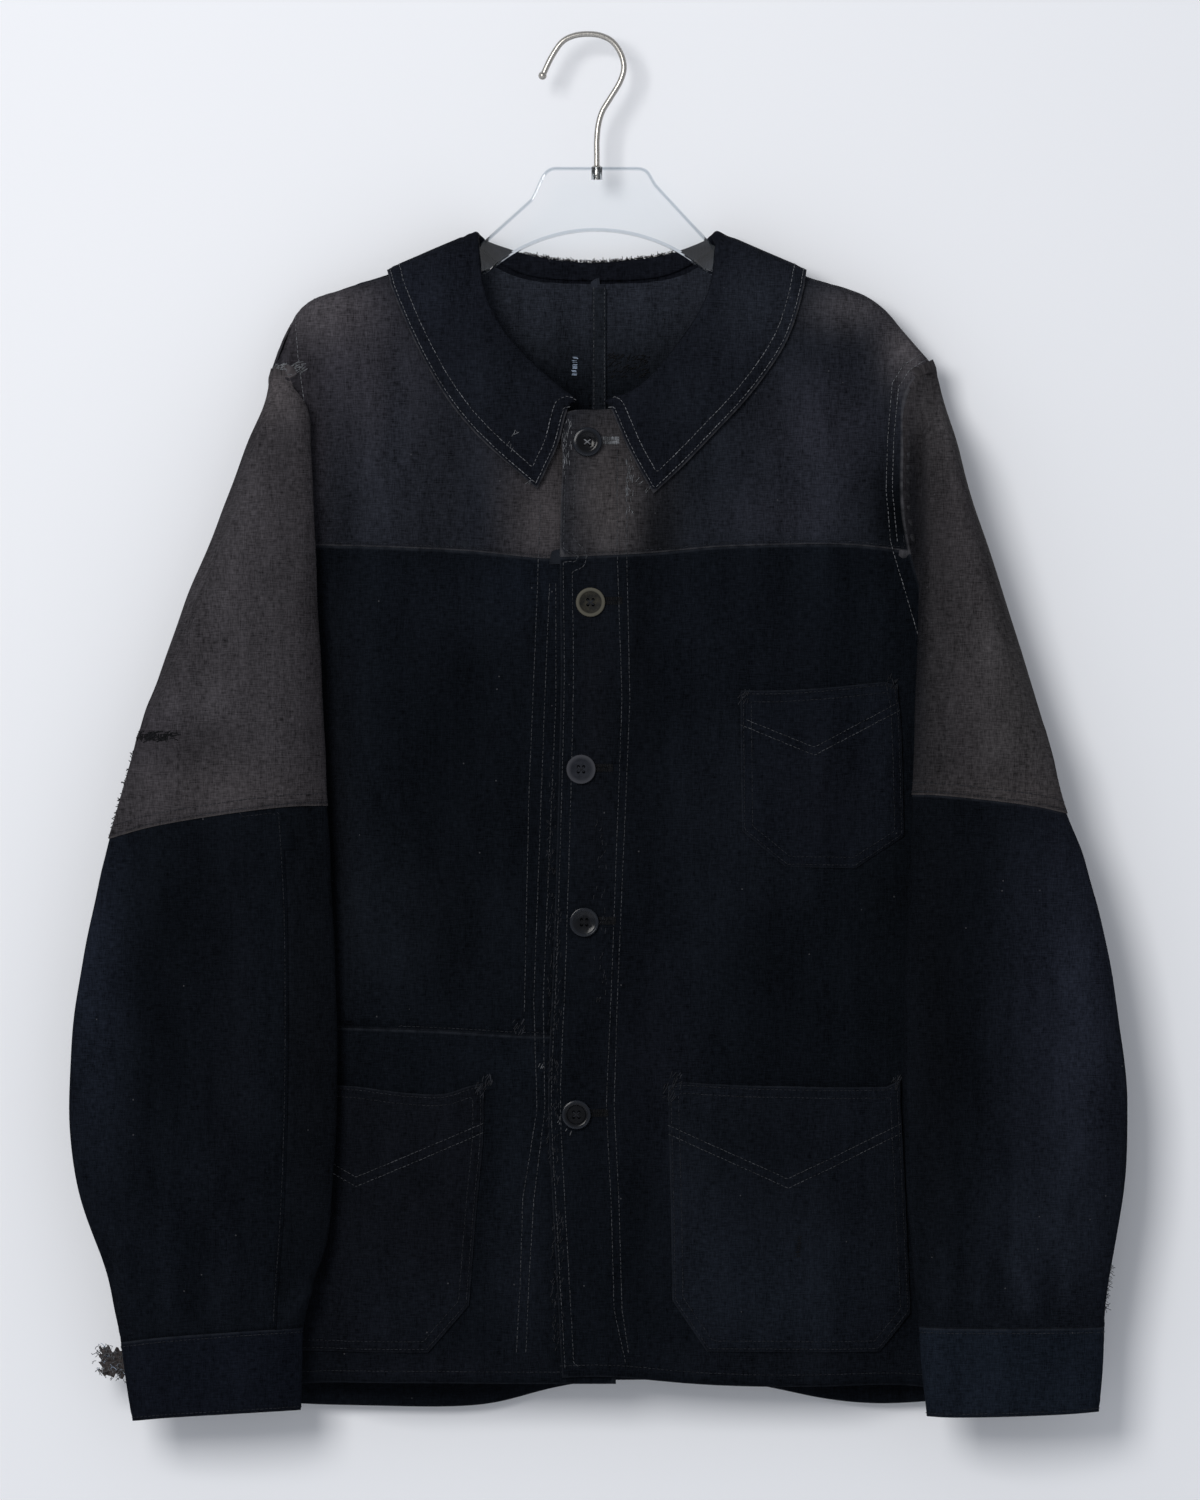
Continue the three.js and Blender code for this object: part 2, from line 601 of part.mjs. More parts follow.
const GAP_Z = 0.8; // between the pieces of a sleeve
const LEFT = SIDES.left;
const leftUpper = [
  ...armholeStations("left"),
  closedStation("left", 249.2, ARMPIT_Z, -437, { valleyY: VALLEY_AT_ARMPIT, valleyShare: 0.09, seamY: -1 }),
  closedStation("left", 250, -450, -453),
  closedStation("left", 250, -483, -495),
];
const leftLower = [
  [250, -483 - GAP_Z, -495 - GAP_Z], [250, -530, -537], [249, -580, -584], [249, -630, -632], [249, -680],
  [250, -735], [253, -775], [256, -803], [258, -820.5],
].map((numbers) => closedStation("left", ...numbers));
const leftCuff = [[258, -820.5 - GAP_Z], [259, -848], [260, -877, -874]].map((numbers) =>
  closedStation("left", ...numbers),
);
const around = ringSamples(0, 8);
add("sleeve_left_upper", wall(sleeveGrid(LEFT, leftUpper, around), { away: fromAxis }), BROWN);
add("sleeve_left_lower", wall(sleeveGrid(LEFT, leftLower, around), { away: fromAxis }), DARK);
add("cuff_left", wall(sleeveGrid(LEFT, leftCuff, around), { thickness: CUFF_WALL, away: fromAxis }), DARK);

const RIGHT = SIDES.right;
const rightUpper = [
  ...armholeStations("right"),
  closedStation("right", -234.6, ARMPIT_Z, -440, { valleyY: VALLEY_AT_ARMPIT, valleyShare: 0.09, seamY: -1 }),
  closedStation("right", -234, -450, -460),
  closedStation("right", -234, -490, -511, { frontSeamX: -193 }),
];
// The front seam of the lower sleeve runs a little out from the inner fold.
const rightLower = [
  [-234, -490 - GAP_Z, -511 - GAP_Z, -192.5], [-235, -545, -552, -189], [-236, -600, -602, -188],
  [-236, -655, -655, -188], [-236, -704, -706, -189], [-236, -742, -743, -190.5], [-237, -772, -776, -192.5],
  [-238, -796, -804, -194.5], [-239, -820.5, -830, -196],
].map(([seamX, inZ, outZ, frontSeamX]) => closedStation("right", seamX, inZ, outZ, { frontSeamX }));
const rightCuff = [[-239, -820.5 - GAP_Z, -830 - GAP_Z], [-239, -847, -857], [-239, -873, -880]].map((numbers) =>
  closedStation("right", ...numbers),
);
add("sleeve_right_upper", wall(sleeveGrid(RIGHT, rightUpper, around), { away: fromAxis }), BROWN);
// The lower sleeve is cut in two: its front seam is at step 3 of the ring and its back seam at step 7.
const FRONT_SEAM = 3;
const BACK_SEAM = 7;
const STEP_GAP = 0.012;
const outerSamples = ringSamples(FRONT_SEAM + STEP_GAP, BACK_SEAM - STEP_GAP);
const innerSamples = ringSamples(BACK_SEAM + STEP_GAP, FRONT_SEAM + 8 - STEP_GAP);
add("sleeve_right_lower_outer", wall(sleeveGrid(RIGHT, rightLower, outerSamples), { away: fromAxis }), DARK);
add("sleeve_right_lower_inner", wall(sleeveGrid(RIGHT, rightLower, innerSamples), { away: fromAxis }), DARK);
add("cuff_right", wall(sleeveGrid(RIGHT, rightCuff, around), { thickness: CUFF_WALL, away: fromAxis }), DARK);

// A worn edge of the cuff's older cloth, which shows behind it.
const UNDERLAY_WALL = 1.2;
const UNDERLAY_Y = -11.5;
const underlayPoint = (u, v) => v3(mix(-309, -284, u) + 6 * v * u, UNDERLAY_Y, mix(-835, -852, v) - 3 * u);
const underlay = [0, 0.5, 1].map((u) => [0, 0.5, 1].map((v) => underlayPoint(u, v)));
add("cuff_right_underlay", wall(underlay, { thickness: UNDERLAY_WALL }), BROWN);

// ---- Collar -------------------------------------------------------------------------------------------------------

const COLLAR_RISE = COLLAR_WALL + 1; // its outer face above the body's
const COLLAR_ROUND = 13;
const ROLL_RADIUS = 2.85;
const STAND_CLEAR = 2.4; // from the neck edge of the body
const COLLAR = {
  right: {
    s: -1,
    ridge: curve([[-70, -123], [-99, -135.5], [-128, -148]]),
    roll: curve([[-7, -231], [-25, -218], [-43, -200], [-58, -180], [-66, -157], [-70, -123]]),
    outer: curve([[-32, -289], [-57, -267], [-78, -246], [-96, -221], [-110, -194], [-121, -171], [-128, -148]]),
    front: curve([[-7, -231], [-14, -240], [-18, -258], [-32, -289]]),
  },
  left: {
    s: 1,
    ridge: curve([[81, -123], [110, -135.5], [140, -148]]),
    roll: curve([[11, -232], [28, -226], [47, -209], [70, -177], [80, -150], [81, -123]]),
    outer: curve([[42, -292], [60, -275], [85, -249], [106, -226], [121, -204], [133, -180], [140, -148]]),
    front: curve([[11, -232], [16, -240], [26, -263], [42, -292]]),
  },
};
const collarRidges = [polyline(COLLAR.right.ridge, 8), polyline(COLLAR.left.ridge, 8)];
const collarRound = (x, z) => rounding(Math.min(...collarRidges.map((line) => distanceTo(line, x, z))), COLLAR_ROUND);

// What the front rises by under the collar, where either leaf may lie on the lap.
const riseUnderCollar = (x) => lapRise(x) * smooth((x + 36) / 14);

function collarPoint(p, facing, rise = COLLAR_RISE) {
  const fullness = facing < 0 ? frontFullness(p.x, p.y) + riseUnderCollar(p.x) : backFullness(p.x, p.y);
  return v3(p.x, facing * (fullness + rise) * collarRound(p.x, p.y), p.y);
}

const leafShares = [0, 0.12, 0.3, 0.5, 0.7, 0.85, 1];
const leafPatch = (key) => coons(COLLAR[key].roll, COLLAR[key].outer, COLLAR[key].front, COLLAR[key].ridge);
const backRoll = curve([[-70, -123], [-60, -131], [-37, -138], [3, -143], [50, -138], [71, -131], [81, -123]]);
const backOuter = curve([[-128, -148], [-119, -182], [-85, -209], [8, -222], [98, -209], [132, -182], [140, -148]]);
const backPatch = coons(backRoll, backOuter, COLLAR.right.ridge, COLLAR.left.ridge);
const backSeam = curve([
  [-77, -129.5], [-58, -146], [-30, -155], [BACK_SEAM_X, -157], [42, -155], [70, -146], [88, -129.5],
]);

// One cross-section of the collar: the stand from the neck seam up to the roll, the roll, then the fall.
function collarSection(patch, u, facing, seam) {
  const fall = leafShares.map((v) => collarPoint(patch(u, v), facing));
  const rollAt = (share) => collarPoint(patch(clamp01(share), 0), facing);
  const along = rollAt(u + 0.01).sub(rollAt(u - 0.01));
  const away = collarPoint(patch(u, 0.08), facing).sub(fall[0]).normalize();
  const out = along.normalize().cross(away).normalize();
  const hint = v3(0, facing, 0.8);
  if (out.dot(hint) < 0) out.negate();
  const centre = fall[0].clone().addScaledVector(away, ROLL_RADIUS).addScaledVector(out, -ROLL_RADIUS);
  const turn = [90, 45, 0, -45, -90].map((degrees) => {
    const angle = (degrees * Math.PI) / 180;
    const back = -ROLL_RADIUS * Math.cos(angle);
    const forth = ROLL_RADIUS * Math.sin(angle);
    return centre.clone().addScaledVector(away, back).addScaledVector(out, forth);
  });
  const depth = facing < 0 ? frontY(seam.x, seam.y, riseUnderCollar(seam.x)) : backY(seam.x, seam.y);
  const stand = v3(seam.x, depth - facing * 2, seam.y);
  const towards = turn[4].clone().sub(stand);
  stand.addScaledVector(towards, STAND_CLEAR / Math.max(STAND_CLEAR, towards.length()));
  return [stand, ...turn.reverse(), ...fall.slice(1)];
}

const COLLAR_STEPS = [0, 1, 3.5, 8, 14];
const leafColumns = spaced(165, 6, [], COLLAR_STEPS);
const rightLeaf = leafColumns.map((u) => collarSection(leafPatch("right"), u, -1, SIDES.right.collarSeam(u)));
const leftLeaf = leafColumns.map((u) => collarSection(leafPatch("left"), u, -1, SIDES.left.collarSeam(u))).reverse();
const backColumns = spaced(240, 6, COLLAR_STEPS, COLLAR_STEPS).slice(1, -1);
const backLeaf = backColumns.map((u) => collarSection(backPatch, u, 1, backSeam(u)));
const outerEdge = (i, j, row) => j === row.length - 1;
add("collar", wall([...rightLeaf, ...backLeaf, ...leftLeaf], { thickness: COLLAR_WALL, probe: outerEdge }), FADED);

// ---- Pockets ------------------------------------------------------------------------------------------------------

const POCKET_LIFT = POCKET_WALL + 1;
const POCKET_COLUMNS = 12;
const MOUTH_GAPE = 2.2; // how far the middle of a pocket's mouth stands away

// A patch pocket: its four edges, lying on the front. Its bottom is straight between turned corners.
function pocket(name, ground, { top, bottom, left: leftEdge, right: rightEdge }) {
  const patch = coons(curve(top), straight(bottom), curve(leftEdge), curve(rightEdge));
  const columns = through(turningShares(bottom), POCKET_COLUMNS);
  const grid = spaced(1, 7).map((v) =>
    columns.map((u) => {
      const mouth = MOUTH_GAPE * Math.sin(Math.PI * u) * (1 - smooth(v / 0.35));
      const p = patch(u, v);
      return v3(p.x, facetY(ground, p.x, p.y) - POCKET_LIFT - mouth, p.y);
    }),
  );
  add(name, wall(grid, { thickness: POCKET_WALL }), DARK);
}

pocket("pocket_chest", frontLeftLower, {
  top: [[97, -417], [125, -417], [160, -414.5], [188, -411.5], [197, -414]],
  bottom: [[98, -506], [126, -529], [171, -530], [202, -509.5]],
  left: [[97, -417], [97.5, -460], [98, -506]],
  right: [[197, -414], [200, -440], [202, -509.5]],
});
pocket("pocket_lower_left", frontLeftLower, {
  top: [[51, -668], [56, -665.5], [112, -668], [192, -669], [199, -665]],
  bottom: [[54, -804], [76, -836.5], [186, -837.5], [206, -813]],
  left: [[51, -668], [53, -743], [54, -804]],
  right: [[199, -665], [202.5, -735], [206, -813]],
});
pocket("pocket_lower_right", frontRightBottom, {
  top: [[-205, -668], [-154, -668], [-118, -672], [-92, -673], [-75, -668], [-66, -666]],
  bottom: [[-207, -805], [-186, -837], [-101, -837], [-75, -807]],
  left: [[-205, -668], [-206, -735], [-207, -805]],
  right: [[-66, -666], [-66, -700], [-70, -743], [-75, -807]],
});

// ---- Buttons ------------------------------------------------------------------------------------------------------
// A button's profile is [radius, height] from the middle of its back to the middle of its face.

const PROFILES = {
  domed: [[0, 0], [8.4, 0], [BUTTON_RADIUS, 1], [BUTTON_RADIUS, 2.1], [8.2, 3], [5.4, 3], [4.4, 2.3], [0, 2.2]],
  rimmed: [[0, 0], [8.2, 0], [BUTTON_RADIUS, 1.1], [BUTTON_RADIUS, 2], [8.6, 2.8], [7.2, 2.8], [6.4, 2.1], [0, 1.9]],
  flat: [[0, 0], [8.6, 0], [BUTTON_RADIUS, 0.8], [BUTTON_RADIUS, 1.9], [8.6, 2.4], [6.2, 2.1], [0, 1.9]],
  thin: [[0, 0], [8.4, 0], [BUTTON_RADIUS, 0.9], [BUTTON_RADIUS, 1.8], [8.8, 2.5], [8, 2.5], [7.2, 1.8], [0, 1.6]],
  ringed: [[0, 0], [8.2, 0], [BUTTON_RADIUS, 1], [BUTTON_RADIUS, 2.4], [8.2, 3.3], [6.8, 3.3], [5.6, 1.9], [0, 1.7]],
};
const BUTTONS = [
  { profile: "domed", at: [0, -259], color: 0x16171b },
  { profile: "rimmed", at: [2, -361], color: 0x4c4a3a },
  { profile: "flat", at: [-4, -467], color: 0x5b5d60 },
  { profile: "thin", at: [-2, -564], color: 0x141519 },
  { profile: "ringed", at: [-7, -686], color: 0x1b1c21 },
];
const HOLE_RADIUS = 1;
const HOLE_SPACING = 1.7;
const BUTTON_CLEAR = 0.7;

BUTTONS.forEach(({ profile, at: [x, z], color }, i) => {
  let body = solid(new THREE.LatheGeometry(PROFILES[profile].map(([r, h]) => v2(r, h)), 18));
  for (const [dx, dz] of [[-1, -1], [-1, 1], [1, -1], [1, 1]]) {
    const hole = new THREE.CylinderGeometry(HOLE_RADIUS, HOLE_RADIUS, 12, 6);
    hole.translate(dx * HOLE_SPACING, 0, dz * HOLE_SPACING);
    body = body.subtract(solid(hole));
  }
  const button = add(`button_${i + 1}`, fromSolid(body), [color, 0.35]);
  button.rotation.x = Math.PI; // its face to the front
  button.position.set(x, frontY(x, z, LAP_RISE) - BUTTON_CLEAR, z);
});

// ---- Hanger -------------------------------------------------------------------------------------------------------

const HOOK_X = 6; // the hook's stem stands a little beside the crest
const PLATE_TOP_Z = -83;
const WIRE_END_Z = -91;
const FERRULE_RADIUS = 3.3;
const FERRULE_LENGTH = 9;
const BALL_RADIUS = 2.7;

const hookPath = new THREE.CatmullRomCurve3(
  [
    [-28, -23.5], [-23, -13], [-16.5, -3.5], [-9, 0.7], [0, WIRE_RADIUS], [8.5, 0.9], [16, -3], [21.5, -11],
    [23.3, -20], [20.6, -29], [14.6, -39], [9.5, -47.5], [7, -56], [HOOK_X, -66], [HOOK_X, -76],
    [HOOK_X, WIRE_END_Z],
  ].map(([x, z]) => v3(x, 0, z)),
);
const wireCircle = new THREE.Path().absarc(0, 0, WIRE_RADIUS, 0, 2 * Math.PI);
const wireSection = new THREE.Shape(wireCircle.getSpacedPoints(8).slice(0, -1));
const wire = new THREE.ExtrudeGeometry(wireSection, { steps: 34, extrudePath: hookPath });
const ball = new THREE.SphereGeometry(BALL_RADIUS, 12, 8).translate(-28.6, 0, -24.6);
add("hook", fromSolid(solid(wire).add(solid(ball))), [0xa9adb3, 0.3, 1]);

const ferruleBore = WIRE_RADIUS + 0.4;
const ferruleProfile = [
  [FERRULE_RADIUS, 0], [FERRULE_RADIUS, FERRULE_LENGTH], [ferruleBore, FERRULE_LENGTH], [ferruleBore, 0],
  [FERRULE_RADIUS, 0],
].map(([r, h]) => v2(r, h));
const ferrule = add("hook_ferrule", new THREE.LatheGeometry(ferruleProfile, 16), [0x55585e, 0.4, 1]);
ferrule.rotation.x = Math.PI / 2;
ferrule.position.set(HOOK_X, 0, WIRE_END_Z);

const PLATE_LEFT = { shoulder: [-69, -133], tip: [-177, -179] };
const PLATE_RIGHT = { shoulder: [80, -133], tip: [184, -179.5] };
const outline = new THREE.Shape();
outline.moveTo(-21, PLATE_TOP_Z);
outline.bezierCurveTo(-31, PLATE_TOP_Z - 1, -31, -97, -37, -104);
outline.lineTo(...PLATE_LEFT.shoulder);
outline.lineTo(...PLATE_LEFT.tip);
outline.bezierCurveTo(-183, -181, -181, -194, -174, -193);
outline.lineTo(-62, -149);
outline.bezierCurveTo(-44, -134, -20, -124, 5, -124);
outline.bezierCurveTo(32, -124, 56, -134, 74, -149);
outline.lineTo(181, -193.5);
outline.bezierCurveTo(188, -194.5, 190, -181.5, 184, -178);
outline.lineTo(...PLATE_RIGHT.shoulder);
outline.lineTo(44, -94);
outline.bezierCurveTo(40, -88, 40, PLATE_TOP_Z, 31, PLATE_TOP_Z);
outline.closePath();
const BEVEL = 1.5;
const slab = new THREE.ExtrudeGeometry(outline, {
  depth: PLATE_THICKNESS - 2 * BEVEL,
  bevelThickness: BEVEL,
  bevelSize: BEVEL,
  bevelOffset: -BEVEL,
  bevelSegments: 2,
  curveSegments: 8,
});
slab.rotateX(Math.PI / 2);
slab.translate(0, PLATE_THICKNESS / 2 - BEVEL, 0);
const SOCKET_RADIUS = FERRULE_RADIUS + SEAM_GAP;
const SOCKET_LENGTH = 40; // long enough to reach past the plate's top
const socket = new THREE.CylinderGeometry(SOCKET_RADIUS, SOCKET_RADIUS, SOCKET_LENGTH, 16);
socket.rotateX(Math.PI / 2);
socket.translate(HOOK_X, 0, WIRE_END_Z - SEAM_GAP + SOCKET_LENGTH / 2);
add("hanger_plate", fromSolid(solid(slab).subtract(solid(socket))), [0xdfe8ee, 0.08]);

export default jacket;
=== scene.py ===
# %% [markdown]
# # A patched work jacket on a clear hanger
# A cotton work jacket that has been mended with whatever dark cloth was at hand. The old cloth is left at the
# shoulders and the upper sleeves, where it has faded to a brownish grey. Darker cloth replaces the rest. It hangs
# from a clear acrylic plate hanger with a bent steel hook. Everything is in metres, +Z up, the front faces -Y.

# %% Load the frame
import math
from collections import namedtuple
from contextlib import contextmanager

import bmesh
import bpy
import numpy as np
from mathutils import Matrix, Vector
from mathutils.bvhtree import BVHTree


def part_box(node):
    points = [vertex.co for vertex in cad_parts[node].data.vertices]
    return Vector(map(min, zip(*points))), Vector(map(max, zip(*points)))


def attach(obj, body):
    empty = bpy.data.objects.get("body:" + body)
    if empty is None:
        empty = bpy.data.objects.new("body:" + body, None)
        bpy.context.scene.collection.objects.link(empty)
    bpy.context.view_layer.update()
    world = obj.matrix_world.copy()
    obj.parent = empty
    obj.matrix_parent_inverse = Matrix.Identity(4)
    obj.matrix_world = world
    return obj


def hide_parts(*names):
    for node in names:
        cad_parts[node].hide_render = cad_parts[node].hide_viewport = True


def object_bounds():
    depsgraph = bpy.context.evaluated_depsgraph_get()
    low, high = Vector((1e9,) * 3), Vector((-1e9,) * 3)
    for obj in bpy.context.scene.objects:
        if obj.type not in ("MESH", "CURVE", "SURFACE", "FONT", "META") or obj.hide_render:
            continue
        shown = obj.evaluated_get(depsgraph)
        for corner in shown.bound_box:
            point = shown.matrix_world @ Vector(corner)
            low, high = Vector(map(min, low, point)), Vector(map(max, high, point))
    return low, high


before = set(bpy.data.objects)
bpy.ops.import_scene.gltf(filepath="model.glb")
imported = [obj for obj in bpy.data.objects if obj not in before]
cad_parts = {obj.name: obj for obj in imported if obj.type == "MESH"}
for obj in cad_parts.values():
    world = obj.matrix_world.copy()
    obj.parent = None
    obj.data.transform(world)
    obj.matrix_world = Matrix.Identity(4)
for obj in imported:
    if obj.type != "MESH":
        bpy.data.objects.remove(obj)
bpy.context.view_layer.update()
cad_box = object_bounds()
low, high = cad_box
MM = 0.001
print("frame:", len(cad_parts), "nodes, box", [round(v, 4) for v in (*low, *high)])

# %% [markdown]
# ## Helpers
# Small functions that the steps below share: objects and meshes first, then nodes, tones and materials.


# %% Helpers for objects
def placed(name, data):
    """A new object at the origin with this data, linked to the scene."""
    made = bpy.data.objects.new(name, data)
    bpy.context.scene.collection.objects.link(made)
    return made


def mesh_object(name, verts, faces=(), edges=()):
    """A new object with a mesh of these points."""
    mesh = bpy.data.meshes.new(name)
    mesh.from_pydata([tuple(v) for v in verts], [tuple(e) for e in edges], [tuple(f) for f in faces])
    return placed(name, mesh)


@contextmanager
def editing(mesh):
    """A mesh as a bmesh, which is written back afterwards."""
    bm = bmesh.new()
    bm.from_mesh(mesh)
    yield bm
    bm.to_mesh(mesh)
    bm.free()


def vectors(items, field):
    """A field of three numbers of mesh items, as the rows of an array."""
    flat = np.empty(len(items) * 3)
    items.foreach_get(field, flat)
    return flat.reshape(-1, 3)


def coordinates(mesh):
    return vectors(mesh.vertices, "co")


def add_attribute(mesh, name, values, kind="FLOAT", domain="POINT", field="value"):
    """A new attribute with these values, for the materials to read."""
    mesh.attributes.new(name, kind, domain).data.foreach_set(field, values)


def declare(obj, material=None, replaces=None):
    """A finished piece: its material, and what the frame has to know of it."""
    if material:
        obj.data.materials.clear()
        obj.data.materials.append(material)
    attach(obj, "root")
    if replaces:
        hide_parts(replaces)
    return obj


# %% Helpers for nodes
def set_inputs(tree, to, values):
    """Sets a node's inputs. A value is a number, a colour or another node's output, which gets linked."""
    for name, value in values.items():
        if isinstance(value, bpy.types.NodeSocket):
            tree.links.new(value, to.inputs[name])
        else:
            to.inputs[name].default_value = value


def node(tree, kind, inputs=None, **settings):
    """Adds a node with these settings and inputs."""
    made = tree.nodes.new(kind)
    for name, value in settings.items():
        setattr(made, name, value)
    set_inputs(tree, made, inputs or {})
    return made


def math_node(tree, operation, first, second=0.0, clamp=False):
    """A Math node's output."""
    return node(tree, "ShaderNodeMath", {0: first, 1: second}, operation=operation, use_clamp=clamp).outputs[0]


def noise(tree, vector, scale, detail=2.0, roughness=0.5):
    """A noise texture's value."""
    inputs = {"Vector": vector, "Scale": scale, "Detail": detail, "Roughness": roughness}
    return node(tree, "ShaderNodeTexNoise", inputs).outputs[0]


def mix_colour(tree, share, first, second):
    """A colour mix's output."""
    return node(tree, "ShaderNodeMix", {0: share, 6: first, 7: second}, data_type="RGBA").outputs[2]


def bump(tree, height, strength, distance):
    """A bump's normal."""
    return node(tree, "ShaderNodeBump", {"Height": height, "Strength": strength, "Distance": distance}).outputs[0]


def attribute(tree, name, output="Fac"):
    """An attribute of the mesh."""
    return node(tree, "ShaderNodeAttribute", attribute_name=name).outputs[output]


def tone(red, green, blue):
    """A tone as it looks in even light, from 0 to 255, as linear colour."""
    return [(v / 255 / 12.92 if v < 10.3 else ((v / 255 + 0.055) / 1.055) ** 2.4) for v in (red, green, blue)]


def opaque(levels):
    """A tone as a colour that covers fully."""
    return (*tone(*levels), 1)


def new_material(name):
    """A material, its node tree and its main shader."""
    material = bpy.data.materials.new(name)
    material.use_nodes = True
    return material, material.node_tree, material.node_tree.nodes["Principled BSDF"]


def let_light_pass(tree, shader, tint=(1, 1, 1, 1), hidden=0.0):
    """Shows a shader, but lets the rays that carry light pass it, and the view too where `hidden` is 1."""
    ray = node(tree, "ShaderNodeLightPath").outputs
    lighting = math_node(tree, "MAXIMUM", ray["Is Shadow Ray"], ray["Is Diffuse Ray"])
    clear = node(tree, "ShaderNodeBsdfTransparent", {"Color": tint}).outputs[0]
    passed = math_node(tree, "MAXIMUM", hidden, lighting)
    mixed = node(tree, "ShaderNodeMixShader", {0: passed, 1: shader.outputs[0], 2: clear})
    tree.links.new(mixed.outputs[0], tree.nodes["Material Output"].inputs["Surface"])


# %% [markdown]
# ## Camera and stage
# A jacket on a wall is looked at straight on. A long lens from far away shows its outline without perspective. The
# wall is seen only from the front: from behind, its material lets the view and the sky's light through, so that the
# back can be studied.

# %% Camera
LENS = 0.170
SENSOR = 0.036
VIEW_HEIGHT = 0.9525
MARGIN_BELOW = 0.051  # wall that shows under the cuffs
MIDDLE_SHIFT = 0.0007  # the view's middle, to the right of the box's
FRONT_PLANE = -0.02
FAR = 40

camera_data = bpy.data.cameras.new("camera")
camera_data.lens = LENS / MM
camera_data.sensor_width = SENSOR / MM
camera_data.clip_end = FAR
camera = placed("camera", camera_data)
camera_distance = VIEW_HEIGHT * LENS / SENSOR
camera_height = low.z - MARGIN_BELOW + VIEW_HEIGHT / 2
camera.location = ((low.x + high.x) / 2 + MIDDLE_SHIFT, FRONT_PLANE - camera_distance, camera_height)
camera.rotation_euler = (math.pi / 2, 0, 0)
bpy.context.scene.camera = camera
bpy.context.scene.view_settings.view_transform = "Standard"
print("camera", [round(v, 4) for v in camera.location])

# %% Stage: a pale wall and floor
WALL_GAP = 0.011
WALL_HALF = 3.0
FLOOR_DROP = 0.42

wall_paint, wall_tree, paint_shader = new_material("pale_wall")
set_inputs(wall_tree, paint_shader, {"Base Color": opaque((238, 240, 245)), "Roughness": 0.9})
let_light_pass(wall_tree, paint_shader, hidden=node(wall_tree, "ShaderNodeNewGeometry").outputs["Backfacing"])

wall_y = high.y + WALL_GAP
front_y = wall_y - 2 * WALL_HALF
floor_z = low.z - FLOOR_DROP
top_z = floor_z + 2 * WALL_HALF
for name, corners in {
    "wall": [(-1, wall_y, floor_z), (1, wall_y, floor_z), (1, wall_y, top_z), (-1, wall_y, top_z)],
    "floor": [(-1, front_y, floor_z), (1, front_y, floor_z), (1, wall_y, floor_z), (-1, wall_y, floor_z)],
}.items():
    surface_piece = mesh_object(name, [(side * WALL_HALF, y, z) for side, y, z in corners], [(0, 1, 2, 3)])
    surface_piece.data.materials.append(wall_paint)
print("wall at y", round(wall_y, 4), "floor at z", round(floor_z, 3))

# %% [markdown]
# ## Light
# One broad soft light stands at the left in front, as a window would. It gives the gentle shadow to the right of the
# sleeves. The sky colour fills the rest evenly, a little blue. A weaker light behind the wall reaches only the back.

# %% Light
LIGHT_SIZE = 1.25
LIGHT_COLOUR = (1.0, 0.985, 0.96)
KEY_PLACE, KEY_POWER = Vector((-1.15, -3.0, 0.55)), 62
BACK_PLACE, BACK_POWER = Vector((1.0, 3.2, 0.7)), 34
AIM = Vector((0, 0, -0.4))
SKY_COLOUR = (0.93, 0.955, 1.0, 1)
SKY_STRENGTH = 0.50


def soft_light(name, place, power):
    """A square soft light that looks at the middle of the jacket."""
    data = bpy.data.lights.new(name, "AREA")
    data.size = LIGHT_SIZE
    data.energy = power
    data.color = LIGHT_COLOUR
    light = placed(name, data)
    light.location = place
    light.rotation_euler = (AIM - place).to_track_quat("-Z", "Y").to_euler()


soft_light("key", KEY_PLACE, KEY_POWER)
soft_light("back", BACK_PLACE, BACK_POWER)

sky = bpy.data.worlds.new("sky")
sky.use_nodes = True
set_inputs(sky.node_tree, sky.node_tree.nodes["Background"], {"Color": SKY_COLOUR, "Strength": SKY_STRENGTH})
bpy.context.scene.world = sky

# %% [markdown]
# ## Cloth finishes
# Moleskin is a dense cotton with a short nap. Close up it shows a fine cross weave under a felted surface, yarns of
# slightly different shades, and light worn lines where a folded edge rubs. Each effect is a node group, built once.
# Fades and stains change over whole pieces, so they are painted on the points as the colour attribute `tone`, which
# also carries painted shade and sheen; the distance to a piece's edge is kept as `edge`: a straight line in the mesh
# keeps its exact width that way.


# %% Effects as node groups
def effect(name, inputs, outputs):
    """An empty shader node group with its sockets: names to default values, and names of outputs."""
    group = bpy.data.node_groups.new(name, "ShaderNodeTree")
    kinds = {tuple: "NodeSocketVector", float: "NodeSocketFloat"}
    for label, value in inputs.items():
        socket = group.interface.new_socket(label, in_out="INPUT", socket_type=kinds[type(value)])
        socket.default_value = value
    for label in outputs:
        group.interface.new_socket(label, in_out="OUTPUT", socket_type="NodeSocketFloat")
    given = group.nodes.new("NodeGroupInput").outputs
    result = group.nodes.new("NodeGroupOutput").inputs
    return group, given, result


heather, given, result = effect(
    "heather", {"Vector": (0.0, 0.0, 0.0), "Yarn": 1400.0, "Blotch": 38.0, "Contrast": 0.3}, ["Shade"]
)
BROAD_WEIGHT, COARSE_WEIGHT = 0.7, 0.4
MEAN_SUM = 1.75  # what the weighted noises come to on average
FULL_SWING = 2.2


def stretched(*scale):
    """The effect's place, drawn out along a thread."""
    return node(heather, "ShaderNodeMapping", {"Vector": given["Vector"], "Scale": scale}).outputs[0]


